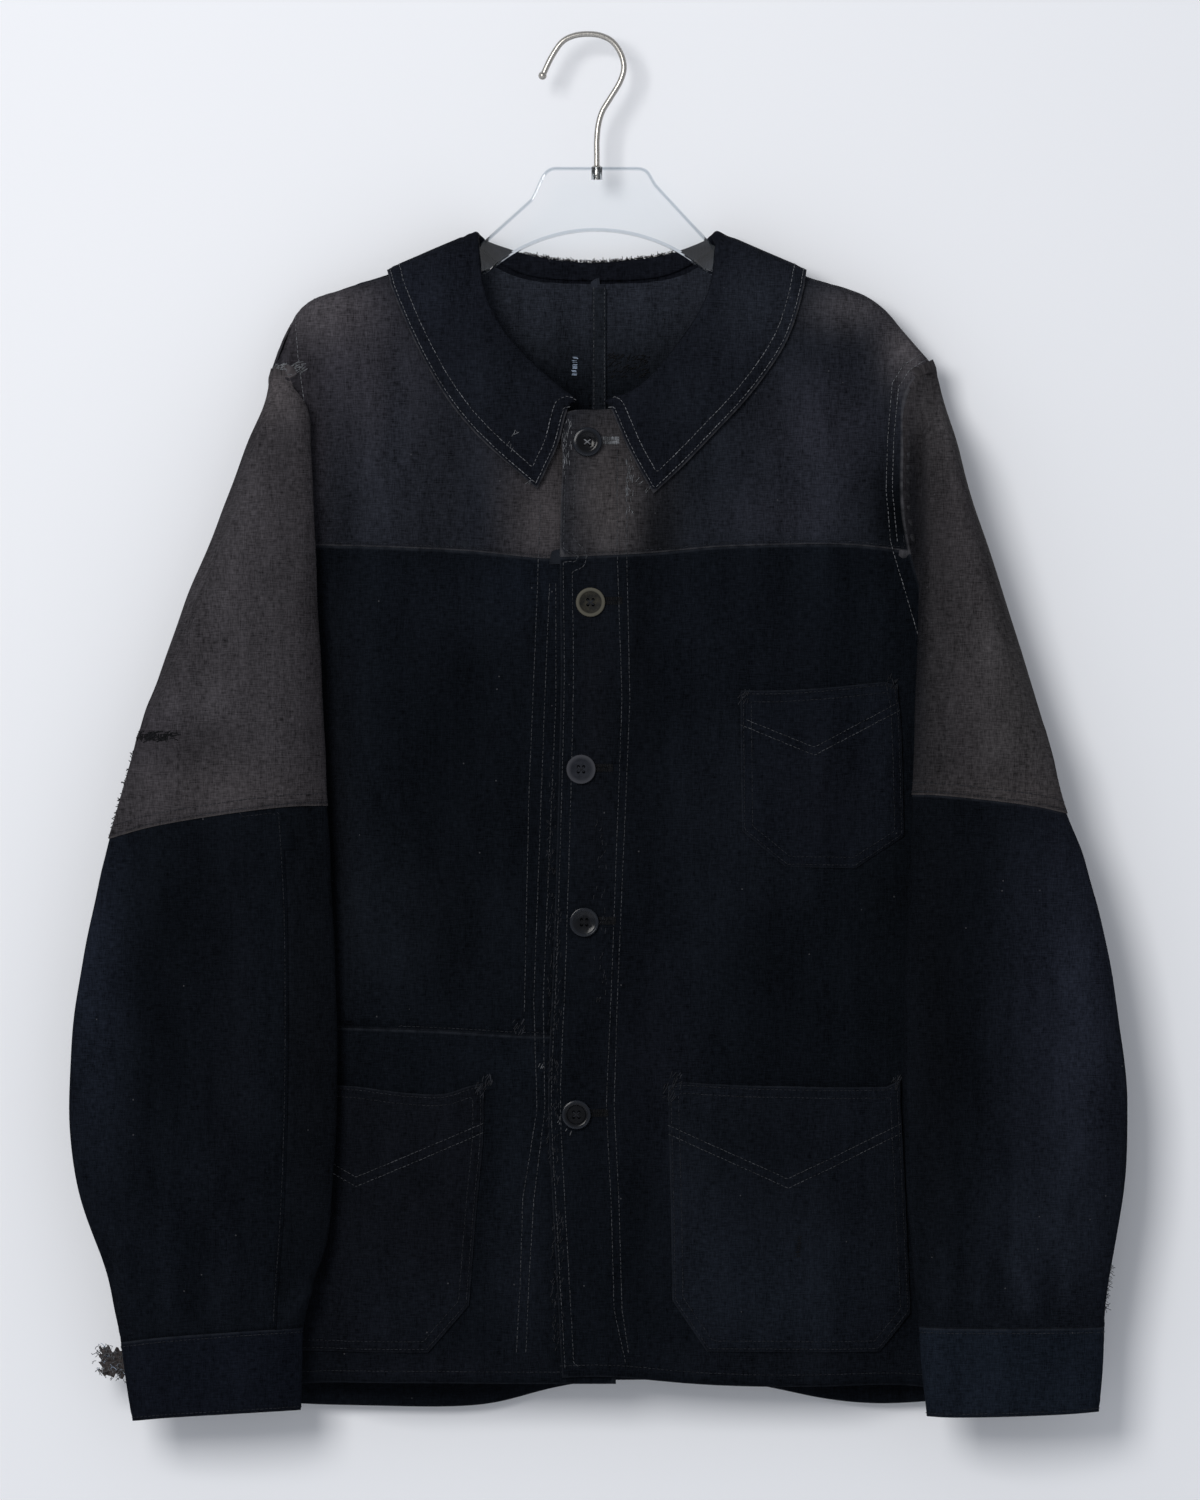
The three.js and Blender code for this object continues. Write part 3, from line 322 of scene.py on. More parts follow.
yarn = noise(heather, stretched(1.0, 0.16, 1.0), given["Yarn"], 3.0)
weft = noise(heather, stretched(0.12, 1.0, 1.0), given["Yarn"])
blotch = noise(heather, stretched(1.0, 0.3, 1.0), given["Blotch"], 4.0, 0.6)
slubs = noise(heather, stretched(1.0, 0.12, 1.0), math_node(heather, "MULTIPLY", given["Yarn"], 0.3))
rubbed_nap = noise(heather, given["Vector"], math_node(heather, "MULTIPLY", given["Yarn"], 0.22), 4.0)
fine = math_node(heather, "ADD", yarn, weft)
coarse = math_node(heather, "MULTIPLY", math_node(heather, "ADD", slubs, rubbed_nap), COARSE_WEIGHT)
broad = math_node(heather, "MULTIPLY", blotch, BROAD_WEIGHT)
summed = math_node(heather, "ADD", math_node(heather, "ADD", fine, broad), coarse)
swing = math_node(heather, "MULTIPLY", math_node(heather, "SUBTRACT", summed, MEAN_SUM), given["Contrast"])
full_swing = math_node(heather, "MULTIPLY", swing, FULL_SWING)
heather.links.new(math_node(heather, "ADD", full_swing, 1.0), result["Shade"])

weave, given, result = effect("weave", {"Vector": (0.0, 0.0, 0.0), "Pitch": 0.0009}, ["Height"])
axes = node(weave, "ShaderNodeSeparateXYZ", {"Vector": given["Vector"]}).outputs
turns = math_node(weave, "DIVIDE", 2 * math.pi, given["Pitch"])
warp = math_node(weave, "SINE", math_node(weave, "MULTIPLY", axes["X"], turns))
diagonal = math_node(weave, "ADD", axes["X"], axes["Y"])
twill = math_node(weave, "SINE", math_node(weave, "MULTIPLY", diagonal, turns))
threads_up = math_node(weave, "MULTIPLY", math_node(weave, "ADD", warp, twill), 0.16)
weave.links.new(math_node(weave, "ADD", threads_up, noise(weave, given["Vector"], 900.0, 4.0)), result["Height"])

worn_edge, given, result = effect(
    "worn_edge", {"Edge": 0.01, "Width": 0.0012, "Vector": (0.0, 0.0, 0.0), "Patchiness": 0.6}, ["Mask"]
)
widths_away = math_node(worn_edge, "DIVIDE", given["Edge"], given["Width"])
near = math_node(worn_edge, "SUBTRACT", 1.0, widths_away, clamp=True)
patchy = math_node(worn_edge, "SUBTRACT", noise(worn_edge, given["Vector"], 160.0, 3.0), 0.36)
gaps = math_node(worn_edge, "MULTIPLY", patchy, 4.0, clamp=True)
worn = math_node(worn_edge, "MULTIPLY", gaps, given["Patchiness"])
solid_part = math_node(worn_edge, "SUBTRACT", 1.0, given["Patchiness"])
kept = math_node(worn_edge, "ADD", worn, solid_part)
worn_edge.links.new(math_node(worn_edge, "MULTIPLY", near, kept), result["Mask"])

lint, given, result = effect("lint", {"Vector": (0.0, 0.0, 0.0), "Spacing": 0.011, "Size": 0.0005}, ["Mask"])
cells = math_node(lint, "DIVIDE", 1.0, given["Spacing"])
scattered = node(lint, "ShaderNodeTexVoronoi", {"Vector": given["Vector"], "Scale": cells}).outputs
chance = node(lint, "ShaderNodeSeparateXYZ", {"Vector": scattered["Color"]}).outputs[0]
picked = math_node(lint, "GREATER_THAN", chance, 0.72)
speck_size = math_node(lint, "DIVIDE", given["Size"], given["Spacing"])
inside = math_node(lint, "LESS_THAN", scattered["Distance"], speck_size)
lint.links.new(math_node(lint, "MULTIPLY", inside, picked), result["Mask"])
print("effects:", [g.name for g in bpy.data.node_groups])

# %% Cloth materials
LINT_TONE = (88, 88, 92)


def cloth_material(name, yarn_contrast, worn_tone, worn_share, lint_share, sheen):
    """A moleskin: painted tone, yarn shades, worn edges and lint, with a fine weave as bump."""
    material, tree, shader = new_material(name)
    flat = node(tree, "ShaderNodeUVMap", uv_map="cloth").outputs[0]

    def on_cloth(group, **inputs):
        """The value of an effect on this cloth."""
        return node(tree, "ShaderNodeGroup", {"Vector": flat, **inputs}, node_tree=group).outputs[0]

    shade = on_cloth(heather, Contrast=yarn_contrast)
    painted = {0: attribute(tree, "tone", "Color"), "Scale": shade}
    shaded = node(tree, "ShaderNodeVectorMath", painted, operation="SCALE").outputs[0]
    rubbed = math_node(tree, "MULTIPLY", on_cloth(worn_edge, Edge=attribute(tree, "edge")), worn_share)
    with_edge = mix_colour(tree, rubbed, shaded, opaque(worn_tone))
    dust = math_node(tree, "MULTIPLY", on_cloth(lint), lint_share)
    set_inputs(tree, shader, {
        "Base Color": mix_colour(tree, dust, with_edge, opaque(LINT_TONE)),
        "Normal": bump(tree, on_cloth(weave), 0.7, 0.0005),
        "Roughness": 0.96,
        "Specular IOR Level": 0.02,
        "Sheen Weight": sheen,
        "Sheen Roughness": 0.45,
        "Sheen Tint": (0.75, 0.82, 1.0, 1),
    })
    return material


FADED, DARK, BROWN = "faded_moleskin", "dark_moleskin", "brown_moleskin"
CLOTHS = {
    name: cloth_material(name, *look)
    for name, look in {
        FADED: (0.80, (74, 74, 78), 0.75, 0.35, 0.003),
        DARK: (0.75, (37, 40, 46), 0.65, 0.4, 0.002),
        BROWN: (0.80, (84, 80, 80), 0.8, 0.3, 0.003),
    }.items()
}
print("cloths:", list(CLOTHS))

# %% [markdown]
# ## The cloth pieces
# Each piece of the jacket is a thin wall in the frame. Its outer skin is what a maker's pattern piece is after
# sewing: the form is right, and only its facets are coarse. So the visible piece starts from that skin. The skin is
# found by leaving out the narrow rim faces, which are the only ones with an edge exactly as long as the wall is
# thick. It is then smoothed by subdivision, with the coarse points pulled back to where they were, so that
# smoothing takes nothing off the sleeves' folds.

# %% The pieces of cloth
Cut = namedtuple("Cut", "cloth ground wall width length area hangs_from")
# its cloth, ground tone, wall in millimetres, flat width, length and area in metres, and what it hangs from
PIECES = {name: Cut(*row) for name, row in {
    "front_left_upper": (FADED, (24, 27, 33), 1.6, 0.240, 0.202, 0.0318, "hanger_plate"),
    "front_left_lower": (DARK, (12, 15, 20), 1.6, 0.280, 0.545, 0.1424, "front_left_upper"),
    "front_right_upper": (FADED, (26, 28, 34), 1.6, 0.225, 0.202, 0.0307, "hanger_plate"),
    "front_right_middle": (DARK, (12, 15, 20), 1.6, 0.255, 0.313, 0.0756, "front_right_upper"),
    "front_right_bottom": (DARK, (12, 15, 20), 1.6, 0.255, 0.238, 0.0578, "front_right_middle"),
    "back_left_upper": (FADED, (35, 38, 45), 1.6, 0.217, 0.202, 0.0358, "hanger_plate"),
    "back_left_lower": (DARK, (15, 18, 23), 1.6, 0.246, 0.545, 0.1312, "back_left_upper"),
    "back_right_upper": (FADED, (35, 38, 45), 1.6, 0.212, 0.202, 0.0354, "hanger_plate"),
    "back_right_lower": (DARK, (15, 18, 23), 1.6, 0.246, 0.552, 0.1326, "back_right_upper"),
    "back_fell": (FADED, (25, 28, 33), 0.9, 0.010, 0.692, 0.0062, "back_right_upper"),
    "collar": (FADED, (17, 19, 25), 2.6, 0.600, 0.110, 0.0446, "hanger_plate"),
    "sleeve_left_upper": (BROWN, (46, 44, 46), 1.6, 0.300, 0.283, 0.0438, "front_left_upper"),
    "sleeve_left_lower": (DARK, (12, 15, 20), 1.6, 0.290, 0.338, 0.0920, "sleeve_left_upper"),
    "cuff_left": (DARK, (20, 25, 33), 2.4, 0.240, 0.057, 0.0133, "sleeve_left_lower"),
    "sleeve_right_upper": (BROWN, (53, 51, 54), 1.6, 0.305, 0.295, 0.0556, "front_right_upper"),
    "sleeve_right_lower_outer": (DARK, (12, 15, 20), 1.6, 0.185, 0.338, 0.0590, "sleeve_right_upper"),
    "sleeve_right_lower_inner": (DARK, (12, 15, 20), 1.6, 0.145, 0.334, 0.0465, "sleeve_right_upper"),
    "cuff_right": (DARK, (14, 17, 24), 2.4, 0.220, 0.059, 0.0122, "sleeve_right_lower_outer"),
    "cuff_right_underlay": (BROWN, (66, 62, 62), 1.2, 0.031, 0.020, 0.0005, "cuff_right"),
    "pocket_chest": (DARK, (15, 18, 24), 1.7, 0.106, 0.120, 0.0116, "front_left_lower"),
    "pocket_lower_left": (DARK, (17, 20, 26), 1.7, 0.156, 0.179, 0.0257, "front_left_lower"),
    "pocket_lower_right": (DARK, (14, 16, 21), 1.7, 0.141, 0.175, 0.0227, "front_right_bottom"),
}.items()}

# %% Outer skins
LEVELS = 3
PULLS = 3  # how often the coarse points are pulled back
WELD = 2e-5
SAME_LENGTH = 3e-6


def outer_skin(name):
    """The outer faces of a wall node, as quads where two triangles make one."""
    thickness = PIECES[name].wall * MM
    bm = bmesh.new()
    bm.from_mesh(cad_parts[name].data)
    bmesh.ops.remove_doubles(bm, verts=bm.verts, dist=WELD)
    rim = {f for f in bm.faces if any(abs(e.calc_length() - thickness) < SAME_LENGTH for e in f.edges)}
    sides, seen = [], set(rim)
    for start in bm.faces:
        if start in seen:
            continue
        seen.add(start)
        side, queue = [], [start]
        while queue:
            face = queue.pop()
            side.append(face)
            fresh = {g for e in face.edges for g in e.link_faces if g not in seen}
            seen |= fresh
            queue += fresh
        sides.append(side)
    outer = max(sides, key=lambda side: sum(f.calc_area() for f in side))
    keep = set(outer)
    bmesh.ops.delete(bm, geom=[f for f in bm.faces if f not in keep], context="FACES")
    any_angle = {"angle_face_threshold": math.pi, "angle_shape_threshold": math.pi}
    bmesh.ops.join_triangles(bm, faces=bm.faces[:], **any_angle)
    return bm


def evaluated_mesh(obj):
    """What the object's modifiers make, as a plain mesh."""
    graph = bpy.context.evaluated_depsgraph_get()
    return bpy.data.meshes.new_from_object(obj.evaluated_get(graph), depsgraph=graph)


CORNER_TURN = math.radians(20)


def keep_corners(bm):
    """Creases the points where the free edge turns sharply, so that smoothing leaves them as corners."""
    crease = bm.verts.layers.float.new("crease_vert")
    for v in bm.verts:
        rim = [e.other_vert(v).co - v.co for e in v.link_edges if e.is_boundary]
        if len(rim) == 2 and math.pi - rim[0].angle(rim[1]) > CORNER_TURN:
            v[crease] = 1.0


def smooth_skin(name):
    """The outer skin, subdivided into a smooth surface that still passes through the coarse points."""
    bm = outer_skin(name)
    if name.startswith("pocket"):
        keep_corners(bm)
    mesh = bpy.data.meshes.new(name + "_skin")
    bm.to_mesh(mesh)
    bm.free()
    obj = placed(name + "_skin", mesh)
    subdivision = obj.modifiers.new("smooth", "SUBSURF")
    subdivision.boundary_smooth = "PRESERVE_CORNERS"
    subdivision.levels = subdivision.render_levels = 1
    target = coordinates(mesh)
    held = target.copy()
    for _ in range(PULLS):
        limit = coordinates(evaluated_mesh(obj))[: len(target)]
        held += target - limit
        mesh.vertices.foreach_set("co", held.ravel())
        mesh.update()
    subdivision.levels = subdivision.render_levels = LEVELS
    smooth = evaluated_mesh(obj)
    bpy.data.objects.remove(obj)
    return smooth


skins = {name: smooth_skin(name) for name in PIECES}
print("skins:", {name: len(mesh.vertices) for name, mesh in skins.items()})

# %% [markdown]
# ## Creases
# Cloth that hangs on a plate has few folds: long soft ones down from the shoulders, drag lines at the armholes, and
# pleats where the sleeve is gathered into the cuff. Each is drawn as a line on the front or the back with a width and
# a height in millimetres, above the surface for a ridge and below it for a trough. Its ends fade out.

# %% The folds, listed
FRONT, BACK = -1, 1
FOLD_DEPTH = 1.6  # all heights below are scaled by this
# half width, height, [x, z] points
SLEEVE_FOLDS = {
    FRONT: [
        (7, 2.4, [[-303, -741], [-293, -768], [-290, -823]]),
        (3.5, -2.4, [[-236, -636], [-241, -700], [-240, -745], [-232, -790], [-229, -824]]),
        (3, -1.8, [[-300, -735], [-297, -752], [-288, -772], [-286, -806]]),
        (3, -1.5, [[-196, -700], [-194, -753], [-194, -815]]),
        (3.5, -1.4, [[-276, -640], [-280, -700], [-272, -760], [-276, -810]]),
        (3.5, -2.2, [[261, -680], [268, -730], [261, -785], [266, -822]]),
        (3, -1.8, [[309, -730], [302, -762], [297, -806]]),
        (3, -1.4, [[232, -690], [238, -740], [234, -800]]),
        (4, -1.3, [[290, -560], [296, -620], [291, -690]]),
        (8, 2.6, [[-232, -695], [-241, -735], [-230, -768], [-234, -826]]),
        (6, -1.8, [[-247, -745], [-246, -780], [-247, -826]]),
        (7, 2.0, [[-266, -725], [-269, -772], [-263, -824]]),
        (6, 2.0, [[-175, -790], [-186, -808], [-191, -823]]),
        (18, -2.2, [[-258, -525], [-272, -613], [-262, -700]]),
        (15, 1.6, [[-215, -530], [-207, -620], [-214, -720]]),
        (13, 1.6, [[-292, -440], [-255, -428], [-212, -424]]),
        (10, -1.2, [[-276, -466], [-240, -452], [-200, -450]]),
        (9, -1.4, [[-192, -232], [-187, -300], [-196, -380]]),
        (10, 1.2, [[-212, -262], [-218, -330], [-232, -390]]),
        (6, 2.4, [[263, -765], [276, -792], [282, -820]]),
        (5, 1.8, [[247, -790], [249, -820]]),
        (7, 2.0, [[302, -745], [301, -780], [305, -820]]),
        (6, -1.8, [[292, -760], [292, -790], [294, -820]]),
        (7, 1.8, [[226, -760], [228, -790], [224, -820]]),
        (18, -2.0, [[240, -518], [231, -613], [242, -709]]),
        (16, 1.6, [[308, -550], [320, -645], [312, -728]]),
        (10, -1.6, [[214, -236], [226, -309], [224, -385]]),
        (10, 1.5, [[228, -262], [243, -340], [256, -420]]),
        (12, 1.2, [[232, -470], [268, -452], [300, -470]]),
    ],
    BACK: [
        (14, 2.0, [[-225, -300], [-255, -420], [-268, -520]]),
        (16, -2.0, [[-285, -520], [-296, -620], [-280, -720]]),
        (7, 2.2, [[-262, -720], [-268, -770], [-262, -824]]),
        (7, 2.0, [[-226, -740], [-232, -780], [-228, -824]]),
        (14, 2.0, [[236, -300], [262, -420], [280, -520]]),
        (16, -2.0, [[300, -540], [308, -640], [296, -720]]),
        (7, 2.2, [[282, -715], [286, -770], [280, -820]]),
        (7, 2.0, [[244, -740], [240, -780], [246, -820]]),
    ],
}
BODY_FOLDS = {
    FRONT: [
        (16, 2.2, [[-160, -334], [-150, -486], [-156, -690]]),
        (22, -1.8, [[-84, -372], [-92, -520], [-84, -640]]),
        (14, 1.4, [[-128, -215], [-138, -300], [-132, -420]]),
        (2.5, -1.4, [[-190, -174], [-188, -205], [-184, -240]]),
        (2.5, -1.2, [[212, -196], [200, -212], [194, -236], [193, -280]]),
        (16, 1.8, [[190, -334], [184, -420], [192, -560]]),
        (20, 1.8, [[72, -520], [65, -677], [76, -850]]),
        (22, -1.6, [[122, -540], [130, -640], [124, -760]]),
        (14, 1.4, [[138, -205], [150, -280], [144, -400]]),
        (10, -1.2, [[206, -226], [192, -280], [190, -330]]),
        (16, 1.4, [[-40, -620], [-46, -740], [-38, -850]]),
        (13, -1.2, [[28, -560], [31, -700], [28, -850]]),
    ],
    BACK: [
        (22, 2.6, [[-110, -190], [-128, -420], [-112, -700]]),
        (22, 2.6, [[128, -190], [142, -420], [126, -700]]),
        (20, -2.2, [[-50, -260], [-60, -520], [-48, -840]]),
        (20, -2.2, [[68, -260], [76, -520], [66, -840]]),
        (16, 2.0, [[-196, -430], [-186, -620], [-192, -850]]),
        (16, 2.0, [[212, -430], [200, -620], [208, -850]]),
        (12, 1.6, [[-190, -210], [-150, -250], [-90, -262]]),
        (12, 1.6, [[206, -210], [166, -250], [106, -262]]),
    ],
}
COLLAR_FOLDS = {
    FRONT: [
        (16, 1.0, [[-110, -160], [-82, -205], [-46, -250]]),
        (16, 1.0, [[122, -160], [92, -210], [56, -256]]),
    ],
    BACK: [
        (14, 1.0, [[-60, -190], [8, -196], [76, -190]]),
    ],
}


def measured(line):
    """A line of [x, z] points as an array, the lengths of its parts and how far along it each point is."""
    line = np.array(line, float)
    lengths = np.hypot(*np.diff(line, axis=0).T)
    return line, lengths, np.concatenate([[0], np.cumsum(lengths)])


def along_line(points, line):
    """For each [x, z] point: its distance to a line of [x, z] points, and the share of the line's length there."""
    line, lengths, starts = measured(line)
    best = np.full(len(points), np.inf)
    share = np.zeros(len(points))
    for i, (a, b) in enumerate(zip(line[:-1], line[1:])):
        t = np.clip(((points - a) @ (b - a)) / lengths[i] ** 2, 0, 1)
        distance = np.hypot(*(points - a - t[:, None] * (b - a)).T)
        nearer = distance < best
        best[nearer] = distance[nearer]
        share[nearer] = ((starts[i] + t * lengths[i]) / starts[-1])[nearer]
    return best, share


FADE_SHARE = 0.22  # the part of a fold's length over which each end fades
FACING_GAIN = 2.5  # how soon a fold is full where the cloth turns to its side


def fold_heights(at, normals, folds):
    """The height that folds, listed by side, give each point, in millimetres."""
    flat = at[:, [0, 2]] / MM
    total = np.zeros(len(at))
    for side, group in folds.items():
        facing = np.clip(normals[:, 1] * side * FACING_GAIN, 0, 1)
        for width, height, line in group:
            distance, share = along_line(flat, line)
            ends = np.clip(np.minimum(share, 1 - share) / FADE_SHARE, 0, 1)
            total += FOLD_DEPTH * height * np.exp(-((distance / width) ** 2)) * ends * facing
    return total


def slack(at):
    """Slow unevenness of old cloth, in millimetres: waves of three sizes, with given lengths and shifts."""
    x, y, z = (at / MM).T
    wide = 0.40 * np.sin(x / 37 + z / 71) + 0.32 * np.sin(z / 29 - x / 53 + 1.3)
    narrow = 0.22 * np.sin(x / 11 + 2.1 * np.sin(z / 47)) + 0.18 * np.sin(z / 9.5 + x / 23)
    return wide + narrow + 0.09 * np.sin(x / 4.3 + 1.7 * np.sin(z / 19)) * np.sin(z / 31 + x / 17)


# %% [markdown]
# ## Seams and edges
# At a seam one piece lies over the next, whose cut edge is turned under. So each piece that lies below gets a narrow
# strip that runs on under its neighbour. The upper piece stands a little proud along its stitched edge, and the
# stitching draws the cloth into tiny puckers.


# %% Distances to the edges of a skin
def boundary_segments(mesh):
    """The free edges of a mesh as two arrays of points."""
    count = np.zeros(len(mesh.edges), int)
    loops = np.empty(len(mesh.loops), int)
    mesh.loops.foreach_get("edge_index", loops)
    np.add.at(count, loops, 1)
    ends = np.empty(len(mesh.edges) * 2, int)
    mesh.edges.foreach_get("vertices", ends)
    ends = ends.reshape(-1, 2)[count == 1]
    at = coordinates(mesh)
    return at[ends[:, 0]], at[ends[:, 1]]


def distance_to(points, starts, ends):
    """The shortest distance from each point to a set of segments, in space."""
    best = np.full(len(points), 1.0)
    for a, b in zip(starts, ends):
        run = b - a
        t = np.clip(((points - a) @ run) / max(run @ run, 1e-12), 0, 1)
        np.minimum(best, np.linalg.norm(points - a - t[:, None] * run, axis=1), out=best)
    return best


EDGE_SPAN = 6 * MM  # how quickly a turned edge's height fades
fold_height = {}  # for each piece, how far its folds stand out at each point, in millimetres
PROUD = {
    "front_left_upper": 0.5, "front_right_upper": 0.5, "back_left_upper": 0.4, "back_right_upper": 0.4,
    "sleeve_left_upper": 0.7, "sleeve_right_upper": 0.9, "front_right_middle": 0.4,
}
SEWN_DOWN = {"pocket_chest": 1.3, "pocket_lower_left": 1.3, "pocket_lower_right": 1.3, "collar": 0.5}
POCKET_MOUTHS = {"pocket_chest": -0.424, "pocket_lower_left": -0.678, "pocket_lower_right": -0.680}
MIDDLE, COLLAR_MIDDLE = 8, 6  # the body's and the collar's middle, in millimetres
YOKE, ELBOW = -320, -470  # edges below these heights are the upper pieces' lower seams, in millimetres


def everywhere(x, y, z):
    return True


def nowhere(x, y, z):
    return False


def below(level):
    """A test for places below a height, in millimetres."""
    return lambda x, y, z: z < level


def outer_collar(x, y, z):
    """The collar's outer edge and front edges, but not the neck edge of its stand. In millimetres."""
    if y < 0:
        return z < -238.5 or abs(x - COLLAR_MIDDLE) > 20 + (z + 289) * 0.6
    return z < -165 or abs(x - COLLAR_MIDDLE) > 115


# The edges that rub and turn pale, where these are not all of a piece's edges. In millimetres.
WEARS = {
    "collar": outer_collar,
    "front_left_upper": lambda x, y, z: z < YOKE or x < -8 or x > 190,
    "front_right_upper": below(YOKE), "back_left_upper": below(YOKE), "back_right_upper": below(YOKE),
    "sleeve_left_upper": below(ELBOW), "sleeve_right_upper": below(ELBOW),
    "sleeve_right_lower_outer": nowhere, "sleeve_right_lower_inner": nowhere,
    "back_fell": nowhere, "cuff_right_underlay": nowhere,
}


def picked_distance(points, starts, ends, picks):
    """The distance from each point to the nearest of the edges whose middles, in millimetres, `picks` chooses."""
    chosen = [i for i, middle in enumerate((starts + ends) / 2 / MM) if picks(*middle)]
    return distance_to(points, starts[chosen], ends[chosen])


COLLAR_SLACK = 0.5
CUFF_SHARE = 0.4  # a stiff cuff takes less of the folds
PUCKER, PUCKER_PITCH, PUCKER_AT = 0.22, 8.5, 4 * MM  # height, length, and distance from the edge
HELD_SHARE = 0.85  # how much of a fold the seam at an edge holds back
SEWN_SPAN = 5 * MM
MOUTH_SPAN = 6 * MM
RAGGED, RAGGED_SPAN, RAGGED_PITCHES = 2.2 * MM, 3 * MM, (0.7, 0.9)


def shape_cloth(name, mesh):
    """Moves a skin's points for folds, slack, proud and sewn edges. Returns each point's distance to a worn edge."""
    at = coordinates(mesh)
    normals = vectors(mesh.vertices, "normal")
    starts, ends = boundary_segments(mesh)
    edge = distance_to(at, starts, ends)
    if name == "collar":
        height = fold_heights(at, normals, COLLAR_FOLDS) + COLLAR_SLACK * slack(at)
    elif name.startswith(("sleeve", "cuff")):
        height = fold_heights(at, normals, SLEEVE_FOLDS) + slack(at)
        if name.startswith("cuff"):
            height *= CUFF_SHARE
    else:
        height = fold_heights(at, normals, BODY_FOLDS) + slack(at)
    fold_height[name] = height.copy()
    near = np.exp(-edge / EDGE_SPAN)
    waves = np.sin((at[:, 0] + at[:, 2]) / MM * 2 * math.pi / PUCKER_PITCH)
    pucker = PUCKER * waves * np.exp(-((edge - PUCKER_AT) / PUCKER_AT) ** 2)
    height = height * (1 - HELD_SHARE * near) + PROUD.get(name, 0) * near + pucker
    if name in SEWN_DOWN:
        free = np.clip((at[:, 2] - POCKET_MOUTHS.get(name, 1.0)) / MOUTH_SPAN, 0, 1)
        height -= SEWN_DOWN[name] * np.exp(-((edge / SEWN_SPAN) ** 2)) * (1 - free)
    if name == "back_fell":
        height[:] = 0
    wear = picked_distance(at, starts, ends, WEARS.get(name, everywhere))
    at += normals * height[:, None] * MM
    if name == "cuff_right_underlay":
        ragged = np.exp(-edge / RAGGED_SPAN) * RAGGED
        at[:, 0] += ragged * np.sin(at[:, 2] / MM / RAGGED_PITCHES[0])
        at[:, 2] += ragged * np.sin(at[:, 0] / MM / RAGGED_PITCHES[1] + 1)
    mesh.vertices.foreach_set("co", at.ravel())
    mesh.update()
    return wear


edge_distance = {name: shape_cloth(name, mesh) for name, mesh in skins.items()}
print("folds:", sum(len(f[side]) for f in (SLEEVE_FOLDS, BODY_FOLDS, COLLAR_FOLDS) for side in f), "placed by hand")
